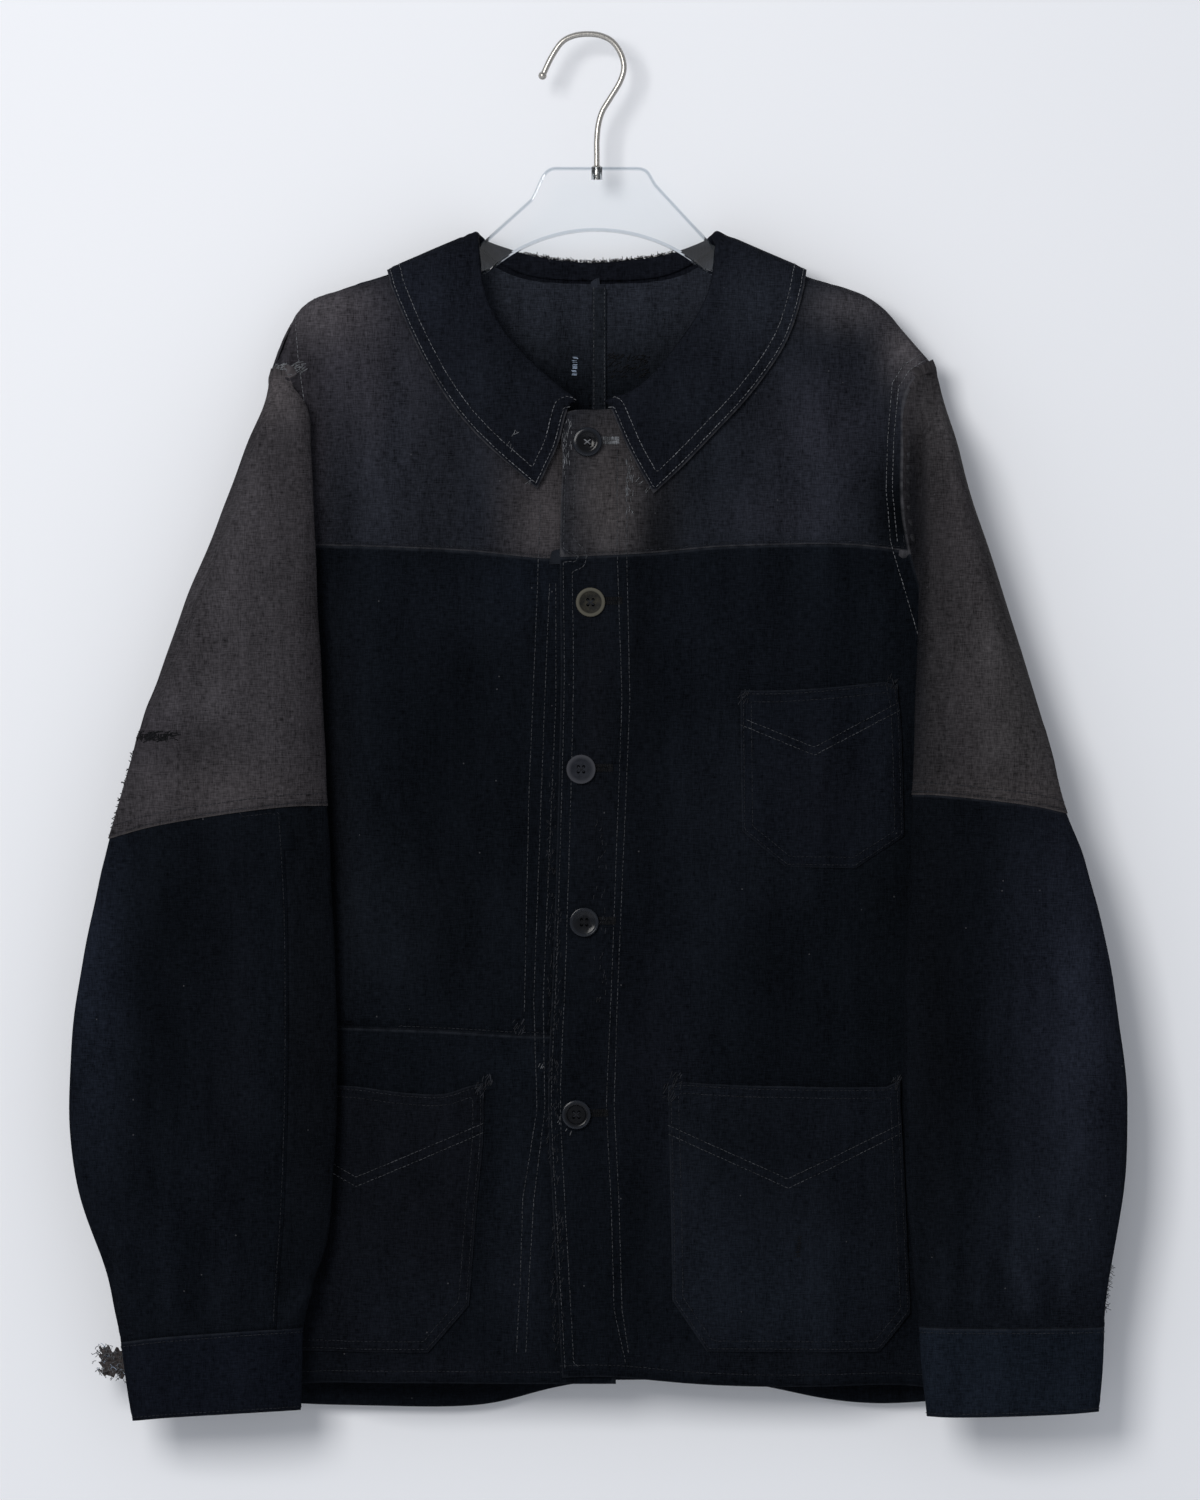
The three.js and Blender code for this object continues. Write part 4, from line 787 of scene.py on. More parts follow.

# %% [markdown]
# ## Fades, stains and painted shade
# Old indigo and sulphur black fade unevenly: brown where the cloth rubs at the shoulders and beside the buttons,
# blue-black where it was covered. A list of soft spots for each piece, laid one over the other on a ground tone,
# gives that. Some spots are painted light and shade instead: painted shadow of the sleeves on the body, painted
# shade in folds and at an armhole, and painted sheen on the lower sleeves' outer sides. Fold ridges are also painted
# lighter and troughs darker. A spot is a place, two radii in millimetres, a tone and a strength.

# %% Tones
SPOTS = {
    "front_right_upper": [
        (-100, -290, 60, 40, (31, 33, 39), 0.7), (-148, -205, 42, 55, (50, 49, 55), 0.75),
        (-186, -250, 18, 95, (46, 44, 48), 0.85), (-172, -172, 34, 24, (74, 71, 75), 0.9),
        (-24, -306, 30, 46, (60, 57, 59), 0.95), (-8, -255, 16, 30, (58, 55, 55), 0.9),
        (-70, -306, 12, 40, (24, 27, 34), 0.6), (-120, -262, 9, 60, (36, 38, 45), 0.6),
    ],
    "front_left_upper": [
        (150, -250, 50, 50, (34, 35, 42), 0.85), (124, -306, 44, 20, (34, 35, 42), 0.7),
        # (198, -306) is painted shade at the bottom of the armhole
        (205, -196, 17, 26, (76, 73, 76), 0.85), (198, -306, 17, 36, (6, 8, 11), 1.0),
        # (46, -318) is painted shade in the fold beside the placket
        (16, -292, 26, 60, (62, 59, 60), 0.94), (46, -318, 12, 34, (15, 16, 19), 0.85),
        (170, -172, 30, 16, (66, 64, 68), 0.7),
    ],
    "collar": [
        (112, -172, 40, 40, (31, 34, 41), 0.8), (-108, -160, 36, 26, (27, 30, 38), 0.7),
        (-55, -225, 40, 36, (21, 24, 30), 0.6), (62, -235, 36, 36, (21, 24, 30), 0.6),
    ],
    "sleeve_right_upper": [
        # (-171, -430) is painted shade along the sleeve's inner fold, beside the body
        (-171, -430, 15, 110, (41, 39, 42), 0.85), (-206, -226, 26, 18, (78, 74, 76), 0.85),
        (-220, -482, 60, 22, (58, 55, 57), 0.7), (-262, -330, 24, 60, (62, 60, 63), 0.6),
        (-280, -440, 26, 20, (46, 44, 48), 0.7),
    ],
    "sleeve_left_upper": [
        # the dark strips at x 207 to 212, here and two lines below, are painted shade where the sleeve folds at the
        # armhole
        (276, -400, 30, 90, (60, 58, 59), 0.85), (212, -420, 16, 120, (37, 36, 38), 0.85),
        (272, -484, 50, 14, (60, 57, 58), 0.8), (226, -245, 16, 34, (66, 64, 66), 0.7),
        (207, -300, 8, 60, (22, 23, 27), 0.85), (208, -390, 6, 80, (20, 21, 25), 0.85),
    ],
    "sleeve_right_lower_outer": [
        # (-314, -590) on the outer side is painted sheen
        (-314, -590, 22, 120, (24, 28, 37), 0.9), (-262, -760, 60, 60, (13, 16, 22), 0.6),
        (-225, -650, 22, 160, (12, 14, 19), 0.6),
    ],
    # the inner half's darker tone is painted shade beside the body
    "sleeve_right_lower_inner": [(-172, -640, 30, 160, (12, 14, 18), 0.9)],
    "sleeve_left_lower": [
        # (305, -620) and (294, -765) on the outer side are painted sheen
        (305, -620, 40, 140, (28, 31, 40), 0.9), (294, -765, 40, 50, (26, 30, 38), 0.7),
        # (220, -620) on the inner side is painted shade beside the body
        (220, -620, 18, 160, (11, 13, 17), 0.8),
    ],
    "front_left_lower": [
        (110, -490, 60, 60, (18, 21, 27), 0.8), (80, -380, 70, 40, (16, 19, 25), 0.7),
        # (33, -400) is painted shade in the fold beside the placket
        (33, -400, 14, 90, (9, 11, 15), 0.8), (40, -650, 30, 70, (16, 18, 24), 0.7),
        (190, -560, 30, 120, (12, 15, 19), 0.6),
        (5, -430, 12, 120, (17, 19, 24), 0.7), (130, -845, 80, 14, (19, 22, 28), 0.6),
    ],
    "front_right_middle": [
        (-80, -360, 70, 30, (16, 19, 25), 0.7), (-120, -560, 50, 50, (16, 19, 24), 0.7),
        # (-165, -500) is painted shadow of the sleeve on the body
        (-45, -350, 22, 20, (17, 21, 28), 0.7), (-165, -500, 20, 160, (9, 10, 13), 0.7),
    ],
    "front_right_bottom": [
        (-45, -800, 22, 50, (17, 20, 26), 0.7), (-40, -655, 30, 14, (16, 20, 26), 0.6),
        # (-165, -740) is painted shadow of the sleeve on the body
        (-165, -740, 20, 100, (8, 9, 12), 0.7), (-110, -850, 60, 12, (18, 20, 26), 0.6),
    ],
    "pocket_lower_left": [(120, -800, 60, 40, (21, 25, 32), 0.9), (80, -700, 40, 30, (14, 17, 22), 0.8)],
    "pocket_lower_right": [(-110, -810, 50, 26, (17, 20, 26), 0.8), (-130, -690, 50, 20, (15, 17, 22), 0.7)],
    "pocket_chest": [(150, -480, 40, 40, (17, 19, 25), 0.7)],
    # each upper back is darker in a broad band below the neck
    "back_left_upper": [(60, -232, 160, 40, (9, 12, 16), 0.95), (190, -185, 40, 30, (70, 67, 71), 0.85)],
    "back_right_upper": [(-45, -232, 160, 40, (9, 12, 16), 0.95), (-175, -185, 40, 30, (70, 67, 71), 0.85)],
    "back_left_lower": [(140, -520, 70, 110, (20, 23, 29), 0.7)],
    "back_right_lower": [(-124, -520, 70, 110, (20, 23, 29), 0.7)],
}
SPREAD = 1.04  # how the tones are scaled for the light of this stage
FOLD_SHADE_AND_WEAR = 0.075  # painted light on fold ridges and painted shade in troughs, with some real rub on the ridges, for each millimetre


def paint(name, mesh):
    """The colour attribute `tone` and the distance attribute `edge` on a skin."""
    at = coordinates(mesh) / MM
    colours = np.tile(np.array(tone(*PIECES[name].ground)), (len(at), 1))
    for x, z, wide, tall, spot_tone, strength in SPOTS.get(name, []):
        share = strength * np.exp(-(((at[:, 0] - x) / wide) ** 2 + ((at[:, 2] - z) / tall) ** 2))
        colours += share[:, None] * (np.array(tone(*spot_tone)) - colours)
    # painted shading of the folds: ridges lighter, troughs darker
    colours *= np.exp(FOLD_SHADE_AND_WEAR * fold_height[name])[:, None]
    painted = np.ones((len(at), 4))
    painted[:, :3] = colours * SPREAD
    add_attribute(mesh, "tone", painted.ravel(), kind="FLOAT_COLOR", field="color")
    add_attribute(mesh, "edge", edge_distance[name])


def lay_flat(mesh):
    """The UV map `cloth`, in metres: each face is seen along the axis that it faces most."""
    layer = mesh.uv_layers.new(name="cloth")
    at = coordinates(mesh)
    uvs = np.empty((len(mesh.loops), 2))
    for face in mesh.polygons:
        sideways = abs(face.normal.x) > max(abs(face.normal.y), abs(face.normal.z))
        upwards = abs(face.normal.z) > max(abs(face.normal.y), abs(face.normal.x))
        u, v = (1, 2) if sideways else (0, 1) if upwards else (0, 2)
        for loop in face.loop_indices:
            point = at[mesh.loops[loop].vertex_index]
            uvs[loop] = point[u], point[v]
    layer.data.foreach_set("uv", uvs.ravel())


for name, mesh in skins.items():
    paint(name, mesh)
    lay_flat(mesh)

# %% Strips that run under the neighbour
def above(level):
    """A test for points above a height, in metres."""
    return lambda p: p.z > level


def at_left_seam(point):
    """Whether a free edge of the left back lies on the centre seam."""
    return point.x < 0.009


def at_right_seam(point):
    return point.x > 0.006


def at_shoulder(point):
    return point.y < 0.003


def under_outer_half(point):
    """Whether a free edge of the right sleeve's inner half runs under the outer half, below its top seam."""
    return point.z < -0.506 and point.x < -0.186


YOKE_TOP = above(-0.336)
CAP_TOP = above(-0.224)
# For each piece that lies below: which of its free edges, and how far they run on, in millimetres.
UNDERLAPS = {
    "front_left_lower": [(YOKE_TOP, 7)],
    "front_right_middle": [(YOKE_TOP, 7)],
    "front_right_bottom": [(above(-0.642), 7)],
    "back_left_lower": [(YOKE_TOP, 7), (at_left_seam, 4)],
    "back_right_lower": [(YOKE_TOP, 7), (at_right_seam, 4)],
    "back_left_upper": [(at_left_seam, 4), (at_shoulder, 4)],
    "back_right_upper": [(at_right_seam, 4), (at_shoulder, 4)],
    "sleeve_left_upper": [(CAP_TOP, 6)],
    "sleeve_right_upper": [(CAP_TOP, 6)],
    "sleeve_left_lower": [(above(-0.50), 7)],
    "sleeve_right_lower_outer": [(above(-0.516), 7)],
    "sleeve_right_lower_inner": [(above(-0.500), 6), (under_outer_half, 2.5)],
    "cuff_left": [(above(-0.825), 5)],
    "cuff_right": [(above(-0.834), 5)],
}
ARMHOLE_REACH = 5
DROP = 1.5  # how far below its neighbour's face a strip ends


def turn_under(bm, where, reach):
    """Runs the chosen free edges on in their own direction, sinking below the surface."""
    edges = [e for e in bm.edges if e.is_boundary and where((e.verts[0].co + e.verts[1].co) / 2)]
    out = {}
    for e in edges:
        face = e.link_faces[0]
        middle = (e.verts[0].co + e.verts[1].co) / 2
        run = (e.verts[1].co - e.verts[0].co).normalized()
        away = middle - face.calc_center_median()
        away -= run * away.dot(run)
        for v in e.verts:
            out[v] = out.get(v, Vector()) + away.normalized()
    drops = {v: v.co + out[v].normalized() * reach * MM - v.normal * DROP * MM for v in out}
    made = bmesh.ops.extrude_edge_only(bm, edges=edges)["geom"]
    for v in {v for v in made if isinstance(v, bmesh.types.BMVert)}:
        source = next(e.other_vert(v) for e in v.link_edges if e.other_vert(v) in drops)
        v.co = drops[source]


def on_armhole(point):
    """Whether a free edge of a body piece lies on an armhole, from the shoulder's end to the armpit."""
    from_middle = abs(point.x - MIDDLE * MM)
    on_yoke_line = -0.334 < point.z < -0.320 and from_middle < 0.192
    return from_middle > 0.168 and -0.437 < point.z < -0.214 and abs(point.y) > 0.001 and not on_yoke_line


# %% Thickness, material and name
CLOTH_SHARE = 0.9  # the visible cloth's share of the solid's wall


def cloth_piece(name, mesh):
    """Turns a skin into the finished piece: strips, thickness, material, declared in the frame."""
    finished = mesh.copy()
    with editing(finished) as bm:
        bm.normal_update()
        if name.startswith(("front", "back_left", "back_right")):
            turn_under(bm, on_armhole, ARMHOLE_REACH)
        for where, reach in UNDERLAPS.get(name, []):
            turn_under(bm, where, reach)
    finished.shade_smooth()
    obj = placed(name + "_cloth", finished)
    solidify = obj.modifiers.new("thickness", "SOLIDIFY")
    solidify.thickness = PIECES[name].wall * MM * CLOTH_SHARE
    solidify.offset = -1
    solidify.use_quality_normals = True
    obj.data = evaluated_mesh(obj)
    obj.modifiers.clear()
    cloth = PIECES[name].cloth
    return declare(obj, CLOTHS[cloth], name)


pieces = {name: cloth_piece(name, mesh) for name, mesh in skins.items()}
print("cloth faces:", sum(len(p.data.polygons) for p in pieces.values()))

# %% [markdown]
# ## Stitches
# Every seam of a work jacket is topstitched, and on a mended one no two rows are alike. A row follows an edge at a
# fixed distance, so it is the line on the skin where the distance to that edge has this value. Rows that cross a
# piece are drawn as lines and laid on the cloth. A Geometry Nodes tree then sets one small stitch after another
# along the line, at the pitch of an old machine, each a little different.


# %% Lines on the cloth
def surface(mesh):
    """Points, triangles, normals and a search tree of a skin."""
    mesh.calc_loop_triangles()
    corners = np.empty(len(mesh.loop_triangles) * 3, int)
    mesh.loop_triangles.foreach_get("vertices", corners)
    points = coordinates(mesh)
    triangles = corners.reshape(-1, 3)
    tree = BVHTree.FromPolygons(points.tolist(), triangles.tolist())
    return {"points": points, "triangles": triangles, "normals": vectors(mesh.vertices, "normal"), "tree": tree}


surfaces = {name: surface(mesh) for name, mesh in skins.items()}
LIFT = 0.18 * MM  # how high a thread's middle lies on the cloth


def level_line(name, values, level, within):
    """The line on a skin where the values pass a level: points, and pairs of them, kept where `within` says so."""
    skin = surfaces[name]
    tris = skin["triangles"]
    over = values[tris] > level
    crossing = tris[over.any(axis=1) & ~over.all(axis=1)]
    places, pairs, points = {}, [], []
    for corners in crossing.tolist():
        ends = []
        for a, b in ((0, 1), (1, 2), (2, 0)):
            i, j = sorted((corners[a], corners[b]))
            if (values[i] > level) == (values[j] > level):
                continue
            if (i, j) not in places:
                t = (level - values[i]) / (values[j] - values[i])
                up = skin["normals"][i] * (1 - t) + skin["normals"][j] * t
                places[(i, j)] = len(points)
                points.append(skin["points"][i] * (1 - t) + skin["points"][j] * t + up * LIFT)
            ends.append(places[(i, j)])
        middle = (points[ends[0]] + points[ends[1]]) / 2 / MM
        if within(*middle):
            pairs.append(ends)
    return points, pairs


def edge_rows(names, distances, along=everywhere, within=everywhere):
    """Rows at these distances, in millimetres, from the free edges that `along` picks on each piece."""
    rows = []
    for name in names:
        values = picked_distance(surfaces[name]["points"], *boundary_segments(skins[name]), along)
        rows += [level_line(name, values, distance * MM, within) for distance in distances]
    return rows


def laid(line, names, side=FRONT, step=1.5, lift=LIFT):
    """A line of [x, z] points in millimetres, laid on the nearest of these skins. Returns points and pairs."""
    line, _, starts = measured(line)
    samples = np.linspace(0, starts[-1], max(2, round(starts[-1] / step)))
    xs = np.interp(samples, starts, line[:, 0])
    zs = np.interp(samples, starts, line[:, 1])
    points, pairs, last = [], [], None
    for x, z in zip(xs, zs):
        origin = Vector((x * MM, side * 0.2, z * MM))
        hits = [surfaces[name]["tree"].ray_cast(origin, Vector((0, -side, 0))) for name in names]
        hits = [hit for hit in hits if hit[0] is not None]
        if not hits:
            last = None
            continue
        place, normal, _, _ = min(hits, key=lambda hit: hit[3])
        if normal.y * side < 0:
            normal = -normal
        points.append(np.array(place + normal * lift))
        if last is not None:
            pairs.append((last, len(points) - 1))
        last = len(points) - 1
    return points, pairs


def joined(lines):
    """Several lines as one list of points and one of pairs."""
    points, pairs = [], []
    for some_points, some_pairs in lines:
        pairs += [(a + len(points), b + len(points)) for a, b in some_pairs]
        points += list(some_points)
    return points, pairs


# %% Geometry Nodes: stitches along lines
def geometry_tree(name, inputs):
    """A Geometry Nodes tree with a mesh going in and out and these named inputs."""
    tree = bpy.data.node_groups.new(name, "GeometryNodeTree")
    tree.interface.new_socket("Geometry", in_out="INPUT", socket_type="NodeSocketGeometry")
    kinds = {float: "NodeSocketFloat", int: "NodeSocketInt"}
    for label, value in inputs.items():
        if value is None:
            tree.interface.new_socket(label, in_out="INPUT", socket_type="NodeSocketMaterial")
        else:
            socket = tree.interface.new_socket(label, in_out="INPUT", socket_type=kinds[type(value)])
            socket.default_value = value
    tree.interface.new_socket("Geometry", in_out="OUTPUT", socket_type="NodeSocketGeometry")
    return tree, tree.nodes.new("NodeGroupInput").outputs, tree.nodes.new("NodeGroupOutput").inputs


def finish_tree(tree, grown_on_line, thread, result):
    """Makes instances real, gives them the thread's material and sends them out."""
    real = node(tree, "GeometryNodeRealizeInstances", {"Geometry": grown_on_line.outputs[0]}).outputs[0]
    named = node(tree, "GeometryNodeSetMaterial", {"Geometry": real, "Material": thread}).outputs[0]
    tree.links.new(named, result["Geometry"])


stitching, given, result = geometry_tree("stitching", {
    "Pitch": 2.8 * MM, "Length": 2.5 * MM, "Radius": 0.24 * MM, "Unevenness": 0.12 * MM, "Seed": 1, "Thread": None,
})
line_curve = node(stitching, "GeometryNodeMeshToCurve", {"Mesh": given["Geometry"]}).outputs[0]
places = node(
    stitching, "GeometryNodeCurveToPoints", {"Curve": line_curve, "Length": given["Pitch"]}, mode="LENGTH"
).outputs
bead = node(stitching, "GeometryNodeMeshUVSphere", {"Segments": 6, "Rings": 4, "Radius": 1.0}).outputs[0]
half_length = math_node(stitching, "MULTIPLY", given["Length"], 0.5)
bead_size = node(stitching, "ShaderNodeCombineXYZ", {"X": given["Radius"], "Y": given["Radius"], "Z": half_length})
stitch = node(stitching, "GeometryNodeTransform", {"Geometry": bead, "Scale": bead_size.outputs[0]}).outputs[0]
vary = node(stitching, "FunctionNodeRandomValue", {"Min": 0.7, "Max": 1.15, "Seed": given["Seed"]}, data_type="FLOAT")
spread = node(stitching, "ShaderNodeCombineXYZ", {axis: given["Unevenness"] for axis in "XYZ"}).outputs[0]
negative = node(stitching, "ShaderNodeVectorMath", {0: spread, "Scale": -1.0}, operation="SCALE").outputs[0]
wander = node(
    stitching, "FunctionNodeRandomValue", {"Min": negative, "Max": spread, "Seed": given["Seed"]},
    data_type="FLOAT_VECTOR",
).outputs[0]
moved = node(stitching, "GeometryNodeSetPosition", {"Geometry": places["Points"], "Offset": wander}).outputs[0]
sewn = node(stitching, "GeometryNodeInstanceOnPoints", {
    "Points": moved, "Instance": stitch, "Rotation": places["Rotation"], "Scale": vary.outputs[1],
})
finish_tree(stitching, sewn, given["Thread"], result)

# %% Geometry Nodes: loose threads
loose_threads, given, result = geometry_tree("loose_threads", {"Radius": 0.16 * MM, "Thread": None})
thread_curve = node(loose_threads, "GeometryNodeMeshToCurve", {"Mesh": given["Geometry"]}).outputs[0]
section = node(loose_threads, "GeometryNodeCurvePrimitiveCircle", {"Resolution": 4, "Radius": given["Radius"]})
strand = node(loose_threads, "GeometryNodeCurveToMesh", {
    "Curve": thread_curve, "Profile Curve": section.outputs[0], "Fill Caps": True,
})
finish_tree(loose_threads, strand, given["Thread"], result)


def grown(name, lines, tree, slot, **values):
    """Runs a tree on these lines and keeps the result as a plain mesh that rides in the frame."""
    points, pairs = joined(lines)
    obj = mesh_object(name, points, edges=pairs)
    modifier = obj.modifiers.new("grow", "NODES")
    modifier.node_group = tree
    for item in tree.interface.items_tree:
        label = item.name.lower()
        if item.in_out == "INPUT" and label in values:
            modifier[item.identifier] = values[label]
    obj.data = evaluated_mesh(obj)
    obj.modifiers.clear()
    obj.data.shade_smooth()
    return declare(obj)


# %% Thread finishes
def thread_material(name, thread_tone):
    """A cotton thread: its tone varies along the row, and twist shows as fine bump."""
    material, tree, shader = new_material(name)
    place = node(tree, "ShaderNodeTexCoord").outputs["Object"]
    mottle = {"Vector": place, "Yarn": 500.0, "Blotch": 120.0, "Contrast": 0.9}
    shade = node(tree, "ShaderNodeGroup", mottle, node_tree=heather).outputs[0]
    ground = node(tree, "ShaderNodeRGB").outputs[0]
    ground.default_value = opaque(thread_tone)
    shaded = node(tree, "ShaderNodeVectorMath", {0: ground, "Scale": shade}, operation="SCALE").outputs[0]
    set_inputs(tree, shader, {
        "Base Color": shaded,
        "Normal": bump(tree, noise(tree, place, 2500.0), 0.4, 0.0001),
        "Roughness": 0.8,
        "Specular IOR Level": 0.15,
    })
    return material


PALE_THREAD = thread_material("pale_thread", (96, 98, 102))
GREY_THREAD = thread_material("grey_thread", (58, 60, 64))
DARK_THREAD = thread_material("dark_thread", (32, 34, 39))
BLACK_THREAD = thread_material("black_thread", (10, 11, 14))
BLUE_THREAD = thread_material("blue_white_thread", (142, 156, 176))


# %% Rows along the edges
POCKETS = ["pocket_chest", "pocket_lower_left", "pocket_lower_right"]
UPPERS = ["front_left_upper", "front_right_upper", "back_left_upper", "back_right_upper"]
HEMS = ["front_left_lower", "front_right_bottom", "back_left_lower", "back_right_lower"]
collar_rows = edge_rows(["collar"], [2.2, 8.6], outer_collar)
yoke_rows = edge_rows(UPPERS, [2.0], below(YOKE))
elbow_rows = edge_rows(["sleeve_left_upper", "sleeve_right_upper"], [2.0, 7.5], below(ELBOW))
cuff_rows = edge_rows(["cuff_left", "cuff_right"], [2.2])
pocket_rows = edge_rows(POCKETS, [2.0, 7.0])
hem_rows = edge_rows(HEMS, [7.5], lambda x, y, z: z < -850 and abs(x - MIDDLE) < 243)
lap_rows = edge_rows(["front_left_lower"], [2.2, 8.0], lambda x, y, z: x < -8, lambda x, y, z: z > -845)
lap_rows += edge_rows(
    ["front_left_upper"], [2.2, 8.0], lambda x, y, z: x < -8 and z < -244, within=below(-247)
)
patch_rows = edge_rows(["front_right_middle"], [2.0], lambda x, y, z: z < -632 and abs(x - MIDDLE) < 238)
seam_rows = edge_rows(
    ["sleeve_right_lower_outer"], [2.2], lambda x, y, z: x > -215 and y < -25, lambda x, y, z: z > -815
)
print("rows:", sum(len(p) for p, _ in collar_rows + pocket_rows + hem_rows), "points on collar, pockets and hems")

# %% Rows given as lines
RIGHT_BODY = ["front_right_upper", "front_right_middle", "front_right_bottom"]
LEFT_BODY = ["front_left_upper", "front_left_lower"]
BODY = RIGHT_BODY + LEFT_BODY
BACKS = ["back_left_upper", "back_left_lower", "back_right_upper", "back_right_lower"]

facing_rows = [laid(line, LEFT_BODY) for line in (
    [[19, -262], [19, -330], [22, -423], [15, -613], [12, -680], [15, -740], [17, -810], [24, -842]],
    [[25.5, -268], [25, -330], [27, -423], [19, -613], [17, -680], [20, -740], [22, -810], [26, -836]],
)]
under_rows = [laid(line, RIGHT_BODY) for line in (
    [[-24, -350], [-27, -423], [-34, -613], [-32, -683], [-41, -740], [-42.5, -791], [-45, -836]],
    [[-20, -350], [-20, -423], [-28, -613], [-27, -683], [-34, -740], [-37, -791], [-39, -836]],
    [[-30, -300], [-32, -360], [-37, -480], [-40, -620]],
)]
pocket_vees = [laid(line, [name]) for name, line in (
    ("pocket_chest", [[98, -439], [144, -458], [198, -430]]),
    ("pocket_chest", [[102, -436], [144, -453], [197, -425]]),
    ("pocket_lower_left", [[51, -698], [127.5, -733], [199, -699]]),
    ("pocket_lower_left", [[52, -693], [127, -727], [199, -693]]),
    ("pocket_lower_right", [[-205, -700], [-147, -732], [-67, -698]]),
    ("pocket_lower_right", [[-205, -694], [-147, -726], [-67, -692]]),
)]
armhole_rows = [laid(line, names) for names, line in (
    (LEFT_BODY, [[216, -206], [205, -213], [198, -224], [195, -256], [194, -288], [197, -321]]),
    (LEFT_BODY, [[212, -203], [201, -210], [194, -221], [191, -256], [190, -288], [193, -323], [210, -380]]),
    (RIGHT_BODY, [[-186, -180], [-184, -205], [-180, -236], [-180, -262], [-184, -300]]),
)]
SEAM_X = 7.5
back_rows = [laid([[SEAM_X + x, z] for z in (-224, -330, -600, -850)], BACKS, side=BACK) for x in (-4, 4)]
fell_rows = [laid([[SEAM_X + x, z] for z in (-160, -420)], ["back_fell"], lift=1.0 * MM) for x in (-3.4, 3.4)]

stitches = [
    grown(name, rows, stitching, slot, thread=thread, radius=radius * MM, seed=seed)
    for name, rows, slot, thread, radius, seed in (
        ("collar_stitches", collar_rows, FADED, PALE_THREAD, 0.26, 3),
        ("front_stitches", lap_rows + facing_rows[:1], DARK, GREY_THREAD, 0.24, 5),
        ("facing_stitches", facing_rows[1:] + under_rows, DARK, GREY_THREAD, 0.24, 6),
        ("yoke_stitches", yoke_rows + elbow_rows, FADED, DARK_THREAD, 0.24, 7),
        ("armhole_stitches", armhole_rows, FADED, PALE_THREAD, 0.24, 8),
        ("pocket_stitches", pocket_rows, DARK, DARK_THREAD, 0.24, 9),
        ("pocket_vee_stitches", pocket_vees, DARK, GREY_THREAD, 0.24, 10),
        ("hem_stitches", hem_rows + cuff_rows + patch_rows + seam_rows, DARK, DARK_THREAD, 0.24, 11),
        ("back_seam_stitches", back_rows + fell_rows, FADED, GREY_THREAD, 0.24, 12),
    )
]
print("stitches:", {s.name: len(s.data.polygons) for s in stitches})

# %% [markdown]
# ## Mends, frays and tears
# The mends are what makes this jacket what it is: darns worked with running stitches, small bars that hold a tear,
# the open edge of the neck and a torn cuff. They are short loose threads. Each is a line of a few points on the
# cloth or just above it, and one tree gives all of them their thickness.

# %% Threads on the cloth
SEED = 20
draw = np.random.default_rng(SEED)
INSIDE_LIFT = 1.55  # from a piece's outer skin to just over its inner face, in millimetres


def darn(centre, size, count, names, length=5.0, slant=0.0, over=0.0):
    """Short stitches scattered over a patch of cloth, near one direction. Sizes in millimetres."""
    lines = []
    for _ in range(count):
        x = centre[0] + draw.uniform(-0.5, 0.5) * size[0]
        z = centre[1] + draw.uniform(-0.5, 0.5) * size[1]
        angle = math.radians(slant + draw.normal(0, 14))
        reach = length * draw.uniform(0.5, 1.2) / 2
        dx, dz = reach * math.cos(angle), reach * math.sin(angle)
        lift = (over + draw.uniform(0.1, 0.5)) * MM
        lines.append(laid([[x - dx, z - dz], [x, z], [x + dx, z + dz]], names, step=1.2, lift=lift))
    return lines


def bars(line, count, length, names, jitter=0.3, over=0.3):
    """Stitches laid square across a line, side by side, as a bar or a buttonhole has."""
    line = np.array(line, float)
    a, b = line[0], line[-1]
    run = (b - a) / np.hypot(*(b - a))
    across = np.array([-run[1], run[0]]) * length / 2
    made = []
    for i in range(count):
        at = a + (b - a) * (i + 0.5) / count + draw.normal(0, jitter, 2)
        made.append(laid([at - across, at, at + across], names, step=1.0, lift=over * MM))
    return made


def fray(root, direction, length, curl=0.45, steps=4):
    """A loose thread from a point in space, wandering off in about this direction."""
    at = np.array(root, float)
    run = np.array(direction, float)
    points = [at.copy()]
    for _ in range(steps):
        run = run / np.linalg.norm(run) + draw.normal(0, curl, 3)
        at = at + run / np.linalg.norm(run) * length / steps
        points.append(at.copy())
    return points, [(i, i + 1) for i in range(steps)]


def frays_from(name, count, heights, x_at, depth, run, droop, lengths, curl=0.45):
    """Loose threads along a piece's side: where from, which way they run and droop, and how long. In millimetres."""
    tree = surfaces[name]["tree"]
    made = []
    for _ in range(count):
        z = draw.uniform(*heights)
        root = np.array(tree.find_nearest(Vector((x_at(z) * MM, depth * MM, z * MM)))[0])
        made.append(fray(root, (run, draw.normal(0, 0.4), draw.normal(*droop)), draw.uniform(*lengths) * MM, curl))
    return made


def darns(places, size, count, names, length, slant):
    """The same small darn at several places."""
    return [line for place in places for line in darn(place, size, count, names, length, slant)]


def grow_threads(rows):
    """Loose threads from rows of a name, lines, a slot that is not used, a thread and its radius in millimetres."""
    return [
        grown(name, lines, loose_threads, slot, thread=thread, radius=radius * MM)
        for name, lines, slot, thread, radius in rows
    ]


